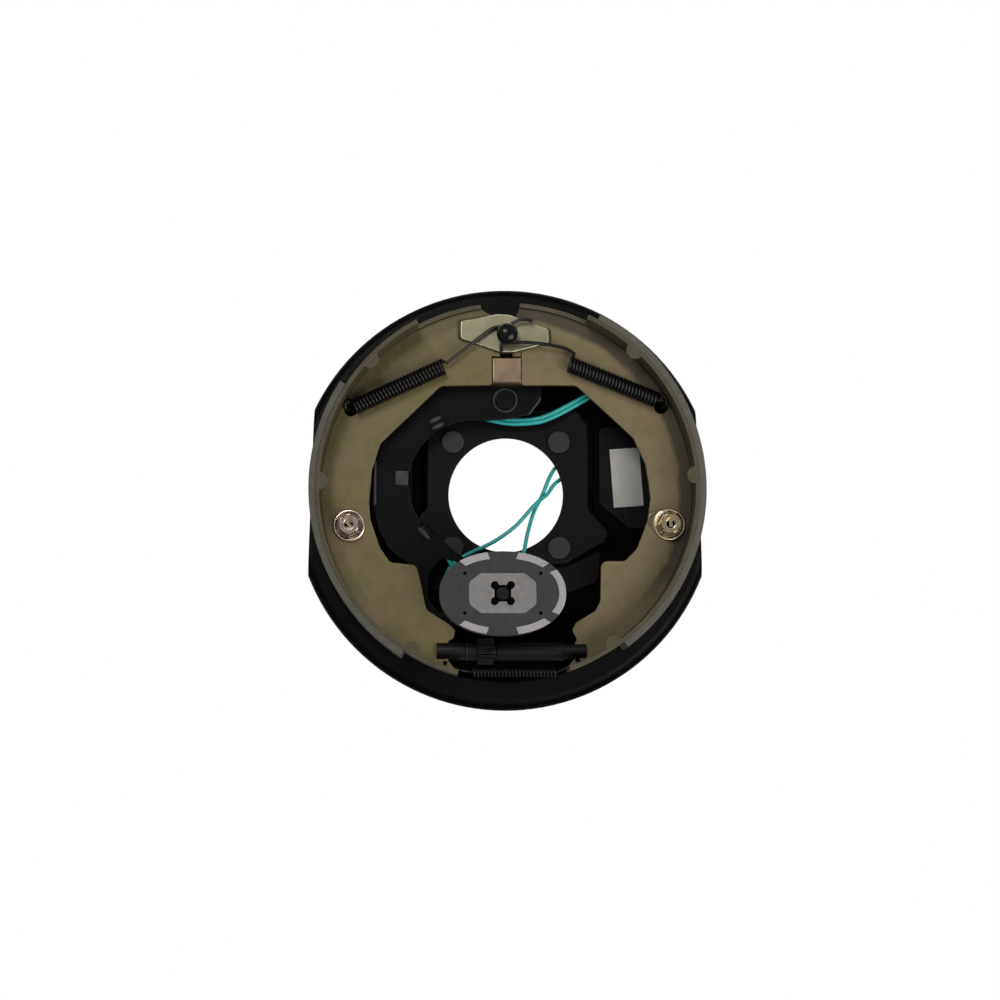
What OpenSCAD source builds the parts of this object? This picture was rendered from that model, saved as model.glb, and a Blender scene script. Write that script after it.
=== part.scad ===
// Electric drum brake assembly, seen from the drum side along +Y.
// X is to the right, Z is up and the axle runs along Y. The origin is the
// centre of the four mounting studs, on the face that meets the axle flange.

/* [Shoes] */
// Inside diameter of the drum that the shoes work in
drum_d = 254; // [253:0.5:255]
// Gap between the lining and the drum, all round
drum_gap = 0.3; // [0.2:0.1:0.6]
// Width of the friction lining
lining_w = 56; // [54:0.5:57]
// Thickness of the friction lining
lining_t = 4.2; // [3.8:0.1:4.6]
// Width of the shoe table, the rolled band under the lining
table_w = 57.5; // [57:0.5:58]
// Thickness of the shoe table
table_t = 2.6; // [2.2:0.1:2.8]
// Thickness of the shoe web
web_t = 4.5; // [4:0.1:4.6]

/* [Backing plate] */
// Diameter of the backing plate over its rolled edge
plate_d = 278.6; // [277:0.2:280]
// Width of the plate across its two side flats, at the height of the axle
flats_w = 255.8; // [254:0.2:257]
// Thickness of the plate steel
plate_t = 3.2; // [3:0.1:3.4]
// Diameter of the centre hole
hub_d = 75; // [73:0.5:76]
// Height of the raised middle over the floor of the plate
plateau_h = 9.2; // [8.6:0.1:9.6]

/* [Mounting] */
// Diameter of the circle through the four studs
stud_pcd = 98.4; // [97:0.1:99]
// Diameter of the studs
stud_d = 9.5; // [9:0.1:9.6]
// Diameter of the stud heads
stud_head_d = 14.8; // [14:0.1:15.5]
// How far the studs stand out behind the mounting face
stud_reach = 25; // [20:1:30]

/* [Lever and magnet] */
// Height of the anchor post above the axle
post_z = 101; // [100.8:0.1:101.2]
// Diameter of the anchor post where the lever turns
post_d = 16; // [15.8:0.1:16.1]
// Thickness of the lever arm
arm_t = 4; // [3.6:0.1:4.2]
// Length of the magnet
magnet_w = 80.5; // [78:0.5:82]
// Height of the magnet
magnet_h = 53.2; // [51:0.2:54]
// Depth of the magnet
magnet_depth = 19; // [18:0.5:19.5]

/* [Adjuster] */
// Outside diameter of the adjuster nut
nut_d = 12.2; // [11.6:0.1:12.6]
// Outside diameter of the star wheel
star_d = 17.4; // [16.6:0.1:17.6]
// Number of teeth on the star wheel
star_teeth = 16; // [14:1:20]

/* [Springs] */
// Outside diameter of the retractor springs
retractor_d = 10.4; // [9.6:0.1:10.6]
// Wire diameter of the retractor springs
retractor_wire = 2.1; // [1.8:0.1:2.2]
// Number of turns of each retractor spring
retractor_turns = 19; // [14:1:20]
// Number of turns of the adjuster spring
adjuster_turns = 24; // [18:1:26]

/* [Leads] */
// Diameter of the magnet leads
lead_d = 2.6; // [2.4:0.1:2.7]

/* [Hidden] */
$fn = 64;

// Levels along Y: the front, towards the drum, is negative
plateau_y = -plate_t;
floor_y = plateau_h - plate_t;
pad_y = floor_y - 3;
ring_y = floor_y - 2.5;
lip_y = 17;
ledge_y = 2.6;
table_back_y = 2.5;
lining_back_y = 1.5;
web_back_y = -24;
web_front_y = web_back_y - web_t;
web_mid_y = web_back_y - web_t / 2;
arm_back_y = -14;
arm_front_y = arm_back_y - arm_t;
magnet_back_y = -38;
magnet_face_y = magnet_back_y - magnet_depth;

// Radii round the axle
lining_r = drum_d / 2 - drum_gap;
table_r = lining_r - lining_t;
table_in_r = table_r - table_t;
plate_r = plate_d / 2;
ring_in_r = 121;
rim_bend_r = 7;
ring_out_r = plate_r - rim_bend_r;
// The rim's own centre lies a little below the axle, and its side flats lean outwards
rim_z = -1.3;
flat_lean = 0.032;

// Shoulder of each stud where it is pressed into the plate
stud_shoulder_r = stud_d / 2 + 0.5;

// Anchor post and what turns on it
post_r = post_d / 2;
post_neck_r = 4.2;
post_head_r = 6.9;
post_seat_r = 11;
fit_gap = 0.05;
notch_r = post_r + 0.4;
anchor_plate_y = -29;
anchor_plate_t = 2.4;

// Hold-downs: the centre of each, and the levels of the cup over its spring
primary_hold = [-101.5, -22.5];
secondary_hold = [105, -21.5];
hold_pin_r = 2.1;
hold_hole_r = 5.4;
cup_r = 10.4;
cup_y = web_front_y - 0.1;
cup_top_y = -40.8;
cup_floor_y = -38.4;
cup_floor_t = 1.2;

// Magnet, on its post at the low end of the lever arm
magnet_x = -3.3;
magnet_z = -67.5;
magnet_post_r = 4.7;
case_wall = 4.7;
case_floor = 4;
land_drop = 3.5;
cross_w = 10.4;
lobe_at = 7.2;
lobe_r = 2.5;
// First and last angle of each steel land on the magnet's face
lands = [[33, 69], [-21, 24], [-69, -31], [-144, -112], [110, 144]];

// Adjuster, along X between the low ends of the webs
adjuster_z = -103;
thread_r = 4;
pilot_r = 3.2;
pilot_end_x = -32.4;
socket_bore_r = 3.9;
fork_slot = web_t + 0.6;
nut_end_x = 36.4;
nut_tip_x = 51;
star_x0 = -19;
star_x1 = -8.5;
washer_x = -26.4;
socket_x = -26.8;
socket_tip_x = -45;
web_tongue_x = 43.5;
primary_tongue_x = -37.5;

// Cam block between the webs
block_half = 9.1;
block_z0 = 69.2;
block_z1 = 87.2;
block_pin_z = 79;
block_pin_r = 5;

// Wire grommet, in the floor of the plate
grommet_x = 64;
grommet_z = 70;
grommet_hole_r = 5.5;
grommet_back_y = floor_y + plate_t + 2;
// Half the distance between the middle lines of the pair of leads
pair_half = lead_d / 2 + 0.1;

// Points of an arc from angle a0 to a1, in n steps
function arc(c, r, a0, a1, n) = [
    for (i = [0:n]) let (a = a0 + (a1 - a0) * i / n) c + r * [cos(a), sin(a)]
];
function unit(v) = v / norm(v);
function turn_to(a, b) = a - b > 180 ? b + 360 : b - a > 180 ? b - 360 : b;

// One corner of an outline as an arc of radius r that meets both its sides
function fillet(before, at, after, r, n) =
    let (
        u = unit(before - at),
        v = unit(after - at),
        half = acos(max(-1, min(1, u * v))) / 2,
        c = at + unit(u + v) * r / sin(half),
        p = at + u * r / tan(half) - c,
        q = at + v * r / tan(half) - c,
        a0 = atan2(p[1], p[0]),
        a1 = turn_to(a0, atan2(q[1], q[0]))
    )
    arc(c, r, a0, a1, n);

// An outline with round corners, from [x, z, radius] for each corner
function rounded(corners, n = 4) = [
    for (i = [0:len(corners) - 1])
        let (
            k = len(corners),
            before = corners[(i + k - 1) % k],
            at = corners[i],
            after = corners[(i + 1) % k]
        )
        each at[2] == 0
            ? [[at[0], at[1]]]
            : fillet([before[0], before[1]], [at[0], at[1]], [after[0], after[1]], at[2], n)
];

// Superellipse, the outline of the magnet
function oval(a, b, power = 2.15, n = 48) = [
    for (i = [0:n - 1])
        let (t = 360 * i / n, c = cos(t), s = sin(t))
        [a * sign(c) * pow(abs(c), 2 / power), b * sign(s) * pow(abs(s), 2 / power)]
];

// Smooth curve through a list of points, with n steps between two points
function smooth(p, n) = [
    for (i = [0:len(p) - 2])
        for (j = [0:(i == len(p) - 2 ? n : n - 1)])
            let (
                t = j / n,
                a = p[max(i - 1, 0)],
                b = p[i],
                c = p[i + 1],
                d = p[min(i + 2, len(p) - 1)]
            )
            0.5 * (2 * b + (c - a) * t + (2 * a - 5 * b + 4 * c - d) * t * t
                + (3 * b - a - 3 * c + d) * t * t * t)
];

function tangents(p) = [
    for (i = [0:len(p) - 1]) unit(p[min(i + 1, len(p) - 1)] - p[max(i - 1, 0)])
];
function square_to(n, t) = unit(n - (n * t) * t);
function normals(t, first) = [
    for (
        i = 0, n = square_to(first, t[0]);
        i < len(t);
        n = square_to(n, t[min(i + 1, len(t) - 1)]), i = i + 1
    ) n
];

// Wire or lead of radius r swept along a list of points
module tube(path, r, sides = 8, first = [0.13, 0.2, 1]) {
    t = tangents(path);
    n = normals(t, first);
    last = len(path) - 1;
    rings = [
        for (i = [0:last])
            for (k = [0:sides - 1])
                path[i] + r * (cos(360 * k / sides) * n[i]
                    + sin(360 * k / sides) * cross(t[i], n[i]))
    ];
    start = [[for (k = [0:sides - 1]) k]];
    end = [[for (k = [sides - 1:-1:0]) last * sides + k]];
    walls = [
        for (i = [0:last - 1])
            for (k = [0:sides - 1])
                let (
                    a = i * sides + k,
                    b = i * sides + (k + 1) % sides,
                    c = b + sides,
                    d = a + sides
                )
                each [[a, d, c], [a, c, b]]
    ];
    polyhedron(points = rings, faces = concat(start, walls, end));
}

// Points of a coil between two points, in n steps a turn. It starts and ends
// at the angle that phase gives, and the radius may change from r0 to r1.
function coil(a, b, r0, r1, turns, n, phase = 0, side = [0, 1, 0]) =
    let (axis = unit(b - a), u = square_to(side, axis), v = cross(axis, u))
    [
        for (i = [0:turns * n])
            let (s = i / (turns * n), w = phase + 360 * i / n, r = r0 + (r1 - r0) * s)
            a + (b - a) * s + r * (cos(w) * u + sin(w) * v)
    ];

// A flat outline in X and Z, t thick, that starts at y_back and comes forward
module sheet(y_back, t) {
    translate([0, y_back, 0])
        rotate([90, 0, 0])
            linear_extrude(height = t)
                children();
}

// A round bar along Y
module bar(x, z, y_back, y_front, r) {
    translate([x, y_back, z])
        rotate([90, 0, 0])
            cylinder(h = y_back - y_front, r = r);
}

// A round bar along X
module cross_bar(x0, x1, r) {
    translate([x0, web_mid_y, adjuster_z])
        rotate([0, 90, 0])
            cylinder(h = x1 - x0, r = r);
}

// A profile of [radius, y] turned round an axis along Y
module turned(profile, x = 0, z = 0) {
    translate([x, 0, z])
        rotate([90, 0, 0])
            rotate_extrude()
                polygon([for (p = profile) [p[0], -p[1]]]);
}

// Part of a band round the axle, between two angles
module band(r_in, r_out, y_back, y_front, a0, a1) {
    rotate([90, 0, 0])
        rotate([0, 0, a0])
            rotate_extrude(angle = a1 - a0)
                translate([r_in, -y_back])
                    square([r_out - r_in, y_back - y_front]);
}

module block_box(x0, x1, y0, y1, z0, z1) {
    translate([x0, y0, z0])
        cube([x1 - x0, y1 - y0, z1 - z0]);
}

// Raised middle of the plate: its top outline, with a foot at each lower corner
plateau_outline = rounded([
    [-44, 56, 6], [46, 56, 6], [53.5, 46, 5], [53.5, -9, 8], [67.5, -24.5, 4],
    [64, -30.5, 3], [38, -45, 12], [-38, -45, 12], [-64, -30.5, 3], [-67.5, -24.5, 4],
    [-51.2, -9, 8], [-51.2, 46, 5]
], 3);

// Low step below the raised middle
step_y = 2.6;
step_outline = rounded([
    [63, -36, 3], [60.5, -56.6, 3], [42.5, -63.6, 4], [-42.5, -63.6, 4],
    [-60.5, -56.6, 3], [-63, -36, 3]
], 3);

module plateau_form(y_top, y_foot, grow) {
    h = y_foot - y_top;
    translate([0, y_foot, 0])
        rotate([90, 0, 0])
            linear_extrude(height = h, scale = 1 / grow)
                scale(grow)
                    polygon(plateau_outline);
}

// Side pad of the plate, on the right as drawn
pad_outline = rounded([
    [61.5, 46, 4], [61.5, -5, 5], [81, -21.5, 5], [98, -21.5, 4], [98, 30, 6], [82, 46, 6]
], 3);

// Rolled rim of the plate, from the ring to the lip that turns back
rim_profile = concat(
    [[hub_d / 4, floor_y], [ring_in_r - 3, floor_y], [ring_in_r, ring_y]],
    [
        for (p = arc([ring_out_r, -ring_y - rim_bend_r], rim_bend_r, 90, 0, 5))
            [p[0], -p[1]]
    ],
    [[plate_r, lip_y], [plate_r - plate_t, lip_y]],
    [
        for (p = arc([ring_out_r, -ring_y - rim_bend_r], rim_bend_r - plate_t, 0, 90, 5))
            [p[0], -p[1]]
    ],
    [
        [ring_in_r + 1, ring_y + plate_t], [ring_in_r - 2, floor_y + plate_t],
        [hub_d / 4, floor_y + plate_t]
    ]
);

ledge_angles = [45, 0, -42, 222, 180, 137];

// What lies between the two side flats, as an outline
module between_flats() {
    top = flats_w / 2 - flat_lean * plate_d;
    bottom = flats_w / 2 + flat_lean * plate_d;
    polygon([[-bottom, -plate_d], [bottom, -plate_d], [top, plate_d], [-top, plate_d]]);
}

module backing_plate() {
    color([0.05, 0.05, 0.05])
        difference() {
            union() {
                intersection() {
                    turned(rim_profile, z = rim_z);
                    sheet(30, 40)
                        between_flats();
                }
                plateau_form(plateau_y, floor_y + 0.5, 1.09);
                sheet(floor_y + 0.5, floor_y - step_y + 0.5)
                    polygon(step_outline);
                for (side = [0, 1])
                    mirror([side, 0, 0])
                        sheet(floor_y + 0.5, floor_y - pad_y + 0.5)
                            polygon(pad_outline);
                for (a = ledge_angles)
                    rotate([0, -a, 0])
                        bar(117, 0, floor_y + 1, ledge_y, 5);
                bar(0, post_z, floor_y + 1, ledge_y - 1, 17);
            }
            plateau_form(0, floor_y + plate_t + 0.01, 1.09 / 1.06);
            for (side = [0, 1])
                mirror([side, 0, 0])
                    sheet(floor_y + plate_t + 1, floor_y - pad_y + 1)
                        translate([3, 0])
                            scale(0.96)
                                polygon(pad_outline);
            bar(0, 0, 30, -10, hub_d / 2);
            for (a = [45:90:315])
                rotate([0, -a, 0])
                    bar(stud_pcd / 2, 0, 30, -10, stud_shoulder_r);
            bar(0, post_z, 30, -10, post_neck_r + 3);
            bar(grommet_x, grommet_z, 30, -10, grommet_hole_r);
            for (at = [primary_hold, secondary_hold])
                bar(at[0], at[1], 30, -10, hold_pin_r + 0.5);
            sheet(floor_y + plate_t + 1, plate_t + 2)
                adjusting_slot(0);
        }
}

// Oval slot in the plate through which the star wheel is turned
module adjusting_slot(grow) {
    for (dx = [-7, 7])
        translate([(star_x0 + star_x1) / 2 + dx, adjuster_z])
            circle(r = 4.5 + grow);
    translate([(star_x0 + star_x1) / 2, adjuster_z])
        square([14, 9 + 2 * grow], center = true);
}

module mounting_studs() {
    color([0.21, 0.21, 0.22])
        for (a = [45:90:315])
            rotate([0, -a, 0])
                turned([
                    [0, plateau_y - 2.6], [stud_head_d / 2 - 0.5, plateau_y - 2.6],
                    [stud_head_d / 2, plateau_y - 2.1], [stud_head_d / 2, plateau_y],
                    [stud_shoulder_r, plateau_y], [stud_shoulder_r, 0], [stud_d / 2, 0],
                    [stud_d / 2, stud_reach - 1],
                    [stud_d / 2 - 1, stud_reach], [0, stud_reach]
                ], x = stud_pcd / 2);
}

module anchor_post() {
    color([0.16, 0.16, 0.17])
        turned([
            [0, -46], [3, -45.6], [5.2, -44.6], [6.4, -43.1], [post_head_r, -41.6],
            [post_head_r - 0.8, -40.5], [post_neck_r, -40],
            [post_neck_r, anchor_plate_y], [post_r, anchor_plate_y],
            [post_r, arm_back_y + 0.2], [post_seat_r, arm_back_y + 0.2],
            [post_seat_r, ledge_y - 1], [post_neck_r + 3, ledge_y - 1],
            [post_neck_r + 3, floor_y + plate_t],
            [post_neck_r + 5, floor_y + plate_t], [post_neck_r + 4.4, floor_y + plate_t + 2.4],
            [0, floor_y + plate_t + 3]
        ], z = post_z);
}

module anchor_plate() {
    outline = rounded([
        [28.7, 4.7, 1.5], [28.7, -5, 1.5], [4.6, -11.4, 3], [-4.4, -11.4, 3],
        [-31.5, -2.1, 1.5], [-31.5, 9.8, 1.5], [-6.4, 14.4, 3], [1.4, 14, 3], [7.8, 11.8, 3]
    ], 3);
    color([0.46, 0.45, 0.38])
        difference() {
            translate([0, 0, post_z])
                hull() {
                    sheet(anchor_plate_y, anchor_plate_t / 3)
                        polygon(outline);
                    sheet(anchor_plate_y, anchor_plate_t)
                        translate([0, 0.3])
                            scale(0.94)
                                polygon(outline);
                }
            bar(0, post_z, 0, -60, post_neck_r);
        }
}

module label_sticker() {
    color([0.72, 0.72, 0.7])
        translate([79.7, 0, 12.4])
            rotate([0, -4.2, 0])
                block_box(-9.8, 9.8, pad_y - 0.25, pad_y, -19.3, 19.3);
}

module wire_grommet() {
    color([0.06, 0.06, 0.06])
        difference() {
            turned([
                [0, floor_y - 3], [5.2, floor_y - 3], [7.6, floor_y - 1.2], [7.6, floor_y],
                [grommet_hole_r, floor_y], [grommet_hole_r, floor_y + plate_t],
                [7.2, floor_y + plate_t], [6.4, grommet_back_y], [0, grommet_back_y]
            ], x = grommet_x, z = grommet_z);
            // Passage for the pair of leads, side by side
            for (side = [-1, 1])
                bar(grommet_x + side * pair_half, grommet_z, 30, -20, lead_d / 2 + 0.1);
            block_box(
                grommet_x - pair_half, grommet_x + pair_half, -20, 30,
                grommet_z - lead_d / 2 - 0.1, grommet_z + lead_d / 2 + 0.1
            );
        }
}

module adjuster_plug() {
    color([0.07, 0.07, 0.07]) {
        sheet(floor_y + plate_t + 1.6, 1.6)
            adjusting_slot(1.8);
        sheet(floor_y + plate_t, plate_t)
            adjusting_slot(0);
        sheet(floor_y, 1.2)
            adjusting_slot(0.6);
    }
}

// Pin of a hold-down. Its neck is square, and its flat tip is turned across
// the slot in the cup's floor.
module hold_down_pin(at, tip_turn) {
    color([0.55, 0.52, 0.42]) {
        bar(at[0], at[1], floor_y + plate_t + 1.8, floor_y + plate_t, 5.2);
        bar(at[0], at[1], floor_y + plate_t, cup_floor_y + 2, hold_pin_r);
        translate([at[0], 0, at[1]])
            rotate([0, -tip_turn, 0]) {
                block_box(-0.8, 0.8, cup_floor_y - 0.2, cup_floor_y + 2, -0.8, 0.8);
                block_box(-2.2, 2.2, cup_floor_y - 1.4, cup_floor_y - 0.1, -0.9, 0.9);
            }
    }
}

module hold_down_spring(at) {
    color([0.5, 0.48, 0.4])
        tube(
            coil(
                [at[0], cup_y - 0.8, at[1]], [at[0], cup_floor_y + cup_floor_t + 0.8, at[1]],
                4, 4, 3.5, 8, side = [1, 0, 0]
            ), 0.55, 5
        );
}

// Tab at the side of the secondary cup: a round end and two sides that run
// into the round flange
module cup_tab() {
    end = [-8.7, 3.1];
    end_r = 5.5;
    edge_r = cup_r - 0.4;
    spread = acos((edge_r - end_r) / norm(end));
    turn = atan2(end[1], end[0]);
    polygon(concat(
        arc(end, end_r, turn - spread, turn + spread, 8),
        [
            edge_r * [cos(turn + spread), sin(turn + spread)], [0, 0],
            edge_r * [cos(turn - spread), sin(turn - spread)]
        ]
    ));
}

// Cup over the spring: a flange with a raised rim, a six-sided middle with its
// corners turned off, and a round hole down to the floor that holds the pin
module hold_down_cup(at, hex_turn, tab) {
    color([0.55, 0.51, 0.43])
        translate([at[0], 0, at[1]])
            difference() {
                union() {
                    turned([
                        [0, cup_y], [cup_r - 0.4, cup_y], [cup_r, cup_y - 0.6],
                        [cup_r, cup_y - 1.6], [cup_r - 0.6, cup_y - 2.1],
                        [cup_r - 1.5, cup_y - 2.1], [cup_r - 2.2, cup_y - 1.2],
                        [0, cup_y - 1.2]
                    ]);
                    if (tab)
                        sheet(cup_y, 1.6)
                            cup_tab();
                    intersection() {
                        translate([0, cup_y - 1, 0])
                            rotate([90, hex_turn, 0])
                                cylinder(h = cup_y - 1 - cup_top_y, r = 7.1, $fn = 6);
                        turned([
                            [0, cup_y], [8, cup_y], [8, cup_top_y + 1.2],
                            [6, cup_top_y], [0, cup_top_y]
                        ]);
                    }
                }
                bar(0, 0, cup_y + 1, cup_floor_y + cup_floor_t, 4.7);
                bar(0, 0, cup_floor_y, -60, 3.2);
                block_box(-2.6, 2.6, cup_floor_y - 1, cup_floor_y + 2, -1.2, 1.2);
            }
}

// Routes of the two loose leads: out of the back of the grommet, down behind
// the plate, forward through the centre hole and down behind the magnet
loose_long_route = [
    [65.2, 11.2, 70], [65.2, 12.4, 70], [65.2, 14.4, 69.9], [65.2, 17, 68.7],
    [65.2, 18.7, 66.4], [65.1, 19.2, 63.4], [63.4, 18.8, 54.6], [59.8, 16.4, 43.4],
    [55.4, 13, 32.6],
    [50, 9.4, 24.4], [44.6, 6.8, 18], [39.8, 4.9, 13.8], [35.6, 3.9, 10.8],
    [31.5, 1, 7], [27.2, -3, 0.7], [21.6, -5.6, -4.1], [16.9, -7, -8.9],
    [11.3, -8, -15.4], [4.9, -8.8, -22], [-5.2, -9, -29.4], [-14.4, -9, -34.4],
    [-21.4, -9, -37.6], [-29, -9, -41.6], [-35.6, -9, -47], [-39.4, -9, -54]
];
loose_short_route = [
    [62.4, 11.2, 70], [62.4, 12.4, 70], [62.3, 14.4, 69.9], [61.9, 17, 68.7],
    [61.2, 18.7, 66.4], [60.3, 19.2, 63.4], [57, 18.6, 55.2], [53.6, 16.2, 46],
    [50, 12.8, 36.4],
    [45.6, 9.6, 28.8], [40.6, 6.8, 23.4], [36.4, 4.9, 20.6], [32.6, 3.9, 18.4],
    [30.2, 1.2, 14.6], [28, -1.6, 10.2], [25.4, -2, 3.6], [22.6, -1.6, -2.8],
    [19.6, -1.8, -8.3], [17.1, -3.4, -14.8], [15.2, -5.6, -21.4], [13.5, -7.8, -28.2],
    [12.4, -9, -34], [11.2, -9, -39.6], [8.8, -9, -46.4], [3.6, -9, -53.6]
];

module loose_lead(route) {
    color([0.03, 0.45, 0.42])
        tube(smooth(route, 3), lead_d / 2);
}

// Outline of the lever arm, from the boss round the anchor post, down the
// open inner side and round the magnet's post, then back up the outer side
arm_outline = concat(
    arc([0, post_z], 16.5, 60, -20, 5),
    [[19, 84], [22.9, 75], [22.7, 60.8], [21.8, 58.4], [15.4, 51.9], [13, 51]],
    [[2, 48.6], [-10, 47.5]],
    arc([-21.8, 5.9], 41.6, 92, 215, 16),
    [[-52.6, -20.8], [-48.6, -24], [-36, -35.5], [-25, -44], [-12, -50.5]],
    arc([magnet_x, magnet_z], 16.5, 80, -110, 10),
    [[-20, -85], [-36, -85.5], [-47, -82.5], [-54.6, -74], [-57, -62], [-57.4, -50.6]],
    [[-66, -44.4], [-76, -36.5], [-82.5, -25]],
    [[-86.2, -9], [-86.2, 21], [-82, 32], [-60, 60], [-40, 80]],
    arc([0, post_z], 16.5, 150, 100, 3)
);

// Opening in the arm beside the magnet, where the held leads go through
arm_window = rounded([
    [-41, -41.6, 2], [-50.4, -52.4, 4], [-51, -68, 6], [-43, -79, 6], [-32, -77, 5],
    [-29, -62, 5], [-33, -44.5, 3]
], 3);

// Centres and directions of the three tabs that hold the leads behind the arm
tabs = [[-45.6, 45.8, 35], [-67.9, 9.5, 88], [-53.2, -25.7, 128]];
tab_l = 6.4;
tab_w = 7;

module lever_arm() {
    color([0.085, 0.09, 0.095]) {
        difference() {
            union() {
                sheet(arm_back_y, arm_t)
                    difference() {
                        polygon(arm_outline);
                        polygon(arm_window);
                    }
                // Outer edge turned forward as a stiffening flange
                block_box(-86.2, -84, arm_front_y - 4.3, arm_back_y, -9, 21);
                // Ring pressed into the arm under the cam block
                bar(-0.8, 60.6, arm_front_y, arm_front_y - 0.8, 7.8);
            }
            bar(-0.8, 60.6, arm_front_y + 0.6, arm_front_y - 2, 6.3);
            bar(0, post_z, 0, -40, post_r + fit_gap);
            bar(0, block_pin_z, 0, -40, block_pin_r);
            bar(magnet_x, magnet_z, 0, -40, magnet_post_r);
            for (t = tabs)
                translate([t[0], 0, t[1]])
                    rotate([0, -t[2], 0])
                        block_box(-tab_l / 2, tab_l / 2, -30, 0, -tab_w / 2, tab_w / 2);
        }
        for (t = tabs)
            translate([t[0], 0, t[1]])
                rotate([0, -t[2], 0])
                    wire_tab();
    }
}

// One tab: the strip pushed out of its window, with a leg at each end
module wire_tab() {
    leg = 1.2;
    stand = 4.2;
    block_box(
        -tab_l / 2 + 0.6, tab_l / 2 - 0.6, arm_back_y + stand - leg, arm_back_y + stand,
        -tab_w / 2 - leg, tab_w / 2 + leg
    );
    for (side = [-1, 1])
        translate([0, 0, side * (tab_w + leg) / 2])
            block_box(
                -tab_l / 2 + 0.6, tab_l / 2 - 0.6, arm_front_y + arm_t / 2,
                arm_back_y + stand, -leg / 2 - 0.2, leg / 2 + 0.2
            );
}

module lever_clip() {
    color([0.3, 0.3, 0.3])
        difference() {
            bar(0, post_z, arm_front_y - 0.1, arm_front_y - 1.3, 12.5);
            bar(0, post_z, 0, -40, post_r + fit_gap);
        }
}

module cam_block() {
    front = -29.8;
    side = rounded([
        [arm_front_y, block_z0, 0], [front, block_z0, 4.2],
        [front, block_z1, 1.2], [arm_front_y, block_z1, 0]
    ], 4);
    color([0.48, 0.42, 0.36]) {
        translate([-block_half, 0, 0])
            rotate([90, 0, 90])
                linear_extrude(height = 2 * block_half)
                    polygon(side);
        bar(0, block_pin_z, arm_back_y, arm_front_y, block_pin_r);
        bar(0, block_pin_z, arm_back_y + 1.8, arm_back_y, block_pin_r + 2);
    }
}

module magnet_post() {
    color([0.2, 0.2, 0.2])
        turned([
            [0, arm_back_y + 2], [magnet_post_r + 1.8, arm_back_y + 1.6],
            [magnet_post_r + 2, arm_back_y], [magnet_post_r, arm_back_y],
            [magnet_post_r, arm_front_y], [magnet_post_r + 2.5, arm_front_y],
            [magnet_post_r + 2.5, arm_front_y - 1.2], [magnet_post_r, arm_front_y - 1.2],
            [magnet_post_r, -49.6], [magnet_post_r - 1, -49.6], [magnet_post_r - 1, -50.8],
            [magnet_post_r, -50.8], [magnet_post_r, -53], [magnet_post_r - 0.8, -53.8],
            [0, -53.8]
        ], magnet_x, magnet_z);
}

// Retainer on the magnet's post: a ring with a leg in each lobe of the hole
module magnet_clip() {
    color([0.12, 0.12, 0.12])
        difference() {
            union() {
                bar(magnet_x, magnet_z, -49.8, -50.6, 4.9);
                translate([magnet_x, 0, magnet_z])
                    for (a = [45:90:315])
                        rotate([0, -a, 0]) {
                            block_box(4, lobe_at, -50.6, -49.8, -1, 1);
                            bar(lobe_at, 0, magnet_back_y - case_floor - 0.1, -53, lobe_r - 0.7);
                        }
            }
            bar(magnet_x, magnet_z, -40, -60, magnet_post_r - 0.9);
        }
}

// Middle line of the held pair of leads: out of the back of the magnet, along
// the back of the lever arm under its tabs, and over to the grommet
held_route = [
    [-28, -37.8, -57], [-28, -36.6, -57], [-28.2, -34.6, -56.9], [-30.4, -31, -54.6],
    [-33, -26, -51.6], [-36, -20.6, -49], [-39, -16, -47], [-42.2, -12.7, -44.6],
    [-45.2, -12.2, -40.8], [-48.6, -12.4, -35], [-53.2, -12.5, -25.7],
    [-60, -12.5, -15], [-66, -12.5, -3], [-67.9, -12.5, 9.5], [-65.5, -12.5, 22],
    [-60, -12.5, 32.5], [-53.5, -12.5, 40.3], [-45.6, -12.5, 45.8], [-37, -12.5, 49.8],
    [-28, -12.5, 51.4], [-20, -12.4, 50.8], [-12.5, -12, 48.6], [-1, -11, 47],
    [10, -10.5, 47], [23, -10, 49], [35, -9, 54.2], [46, -8, 60.4], [54, -7, 65.2],
    [59.4, -5.4, 68.2], [62.8, -2.4, 69.8], [64, 1, 70], [64, 3, 70], [64, 6, 70],
    [64, 11, 70]
];

// One lead of the pair, to one side of the middle line. The lean keeps the
// pair side by side along X where the middle line runs along Y.
module magnet_lead(side) {
    lean = 0.6;
    path = smooth(held_route, 2);
    t = tangents(path);
    color([0.03, 0.45, 0.42])
        tube([
            for (i = [0:len(path) - 1])
                let (across = unit([t[i][2] + lean * abs(t[i][1]), 0, -t[i][0]]))
                path[i] + side * pair_half * across
        ], lead_d / 2);
}

module magnet_spring() {
    color([0.35, 0.35, 0.36])
        translate([magnet_x, 0, magnet_z])
            tube(
                coil([0, arm_front_y - 0.8, 0], [0, magnet_back_y + 0.8, 0], 8.6, 13, 4, 12,
                    side = [1, 0, 0]), 0.75, 6
            );
}

// Outline of the core plate on the face of the magnet
core_outline = rounded([
    [21.4, 7, 4], [14, 12.8, 4], [-14, 12.8, 4], [-21.4, 7, 4], [-21.4, -7, 4],
    [-14, -12.8, 4], [14, -12.8, 4], [21.4, -7, 4]
], 3);

// The wedges round the magnet that hold a steel land, or all but those
module land_wedges() {
    for (a = lands)
        polygon(concat([[0, 0]], arc([0, 0], magnet_w, a[0], a[1], 4)));
}

module magnet_place(y) {
    translate([magnet_x, y, magnet_z])
        rotate([90, 0, 0])
            children();
}

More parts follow.
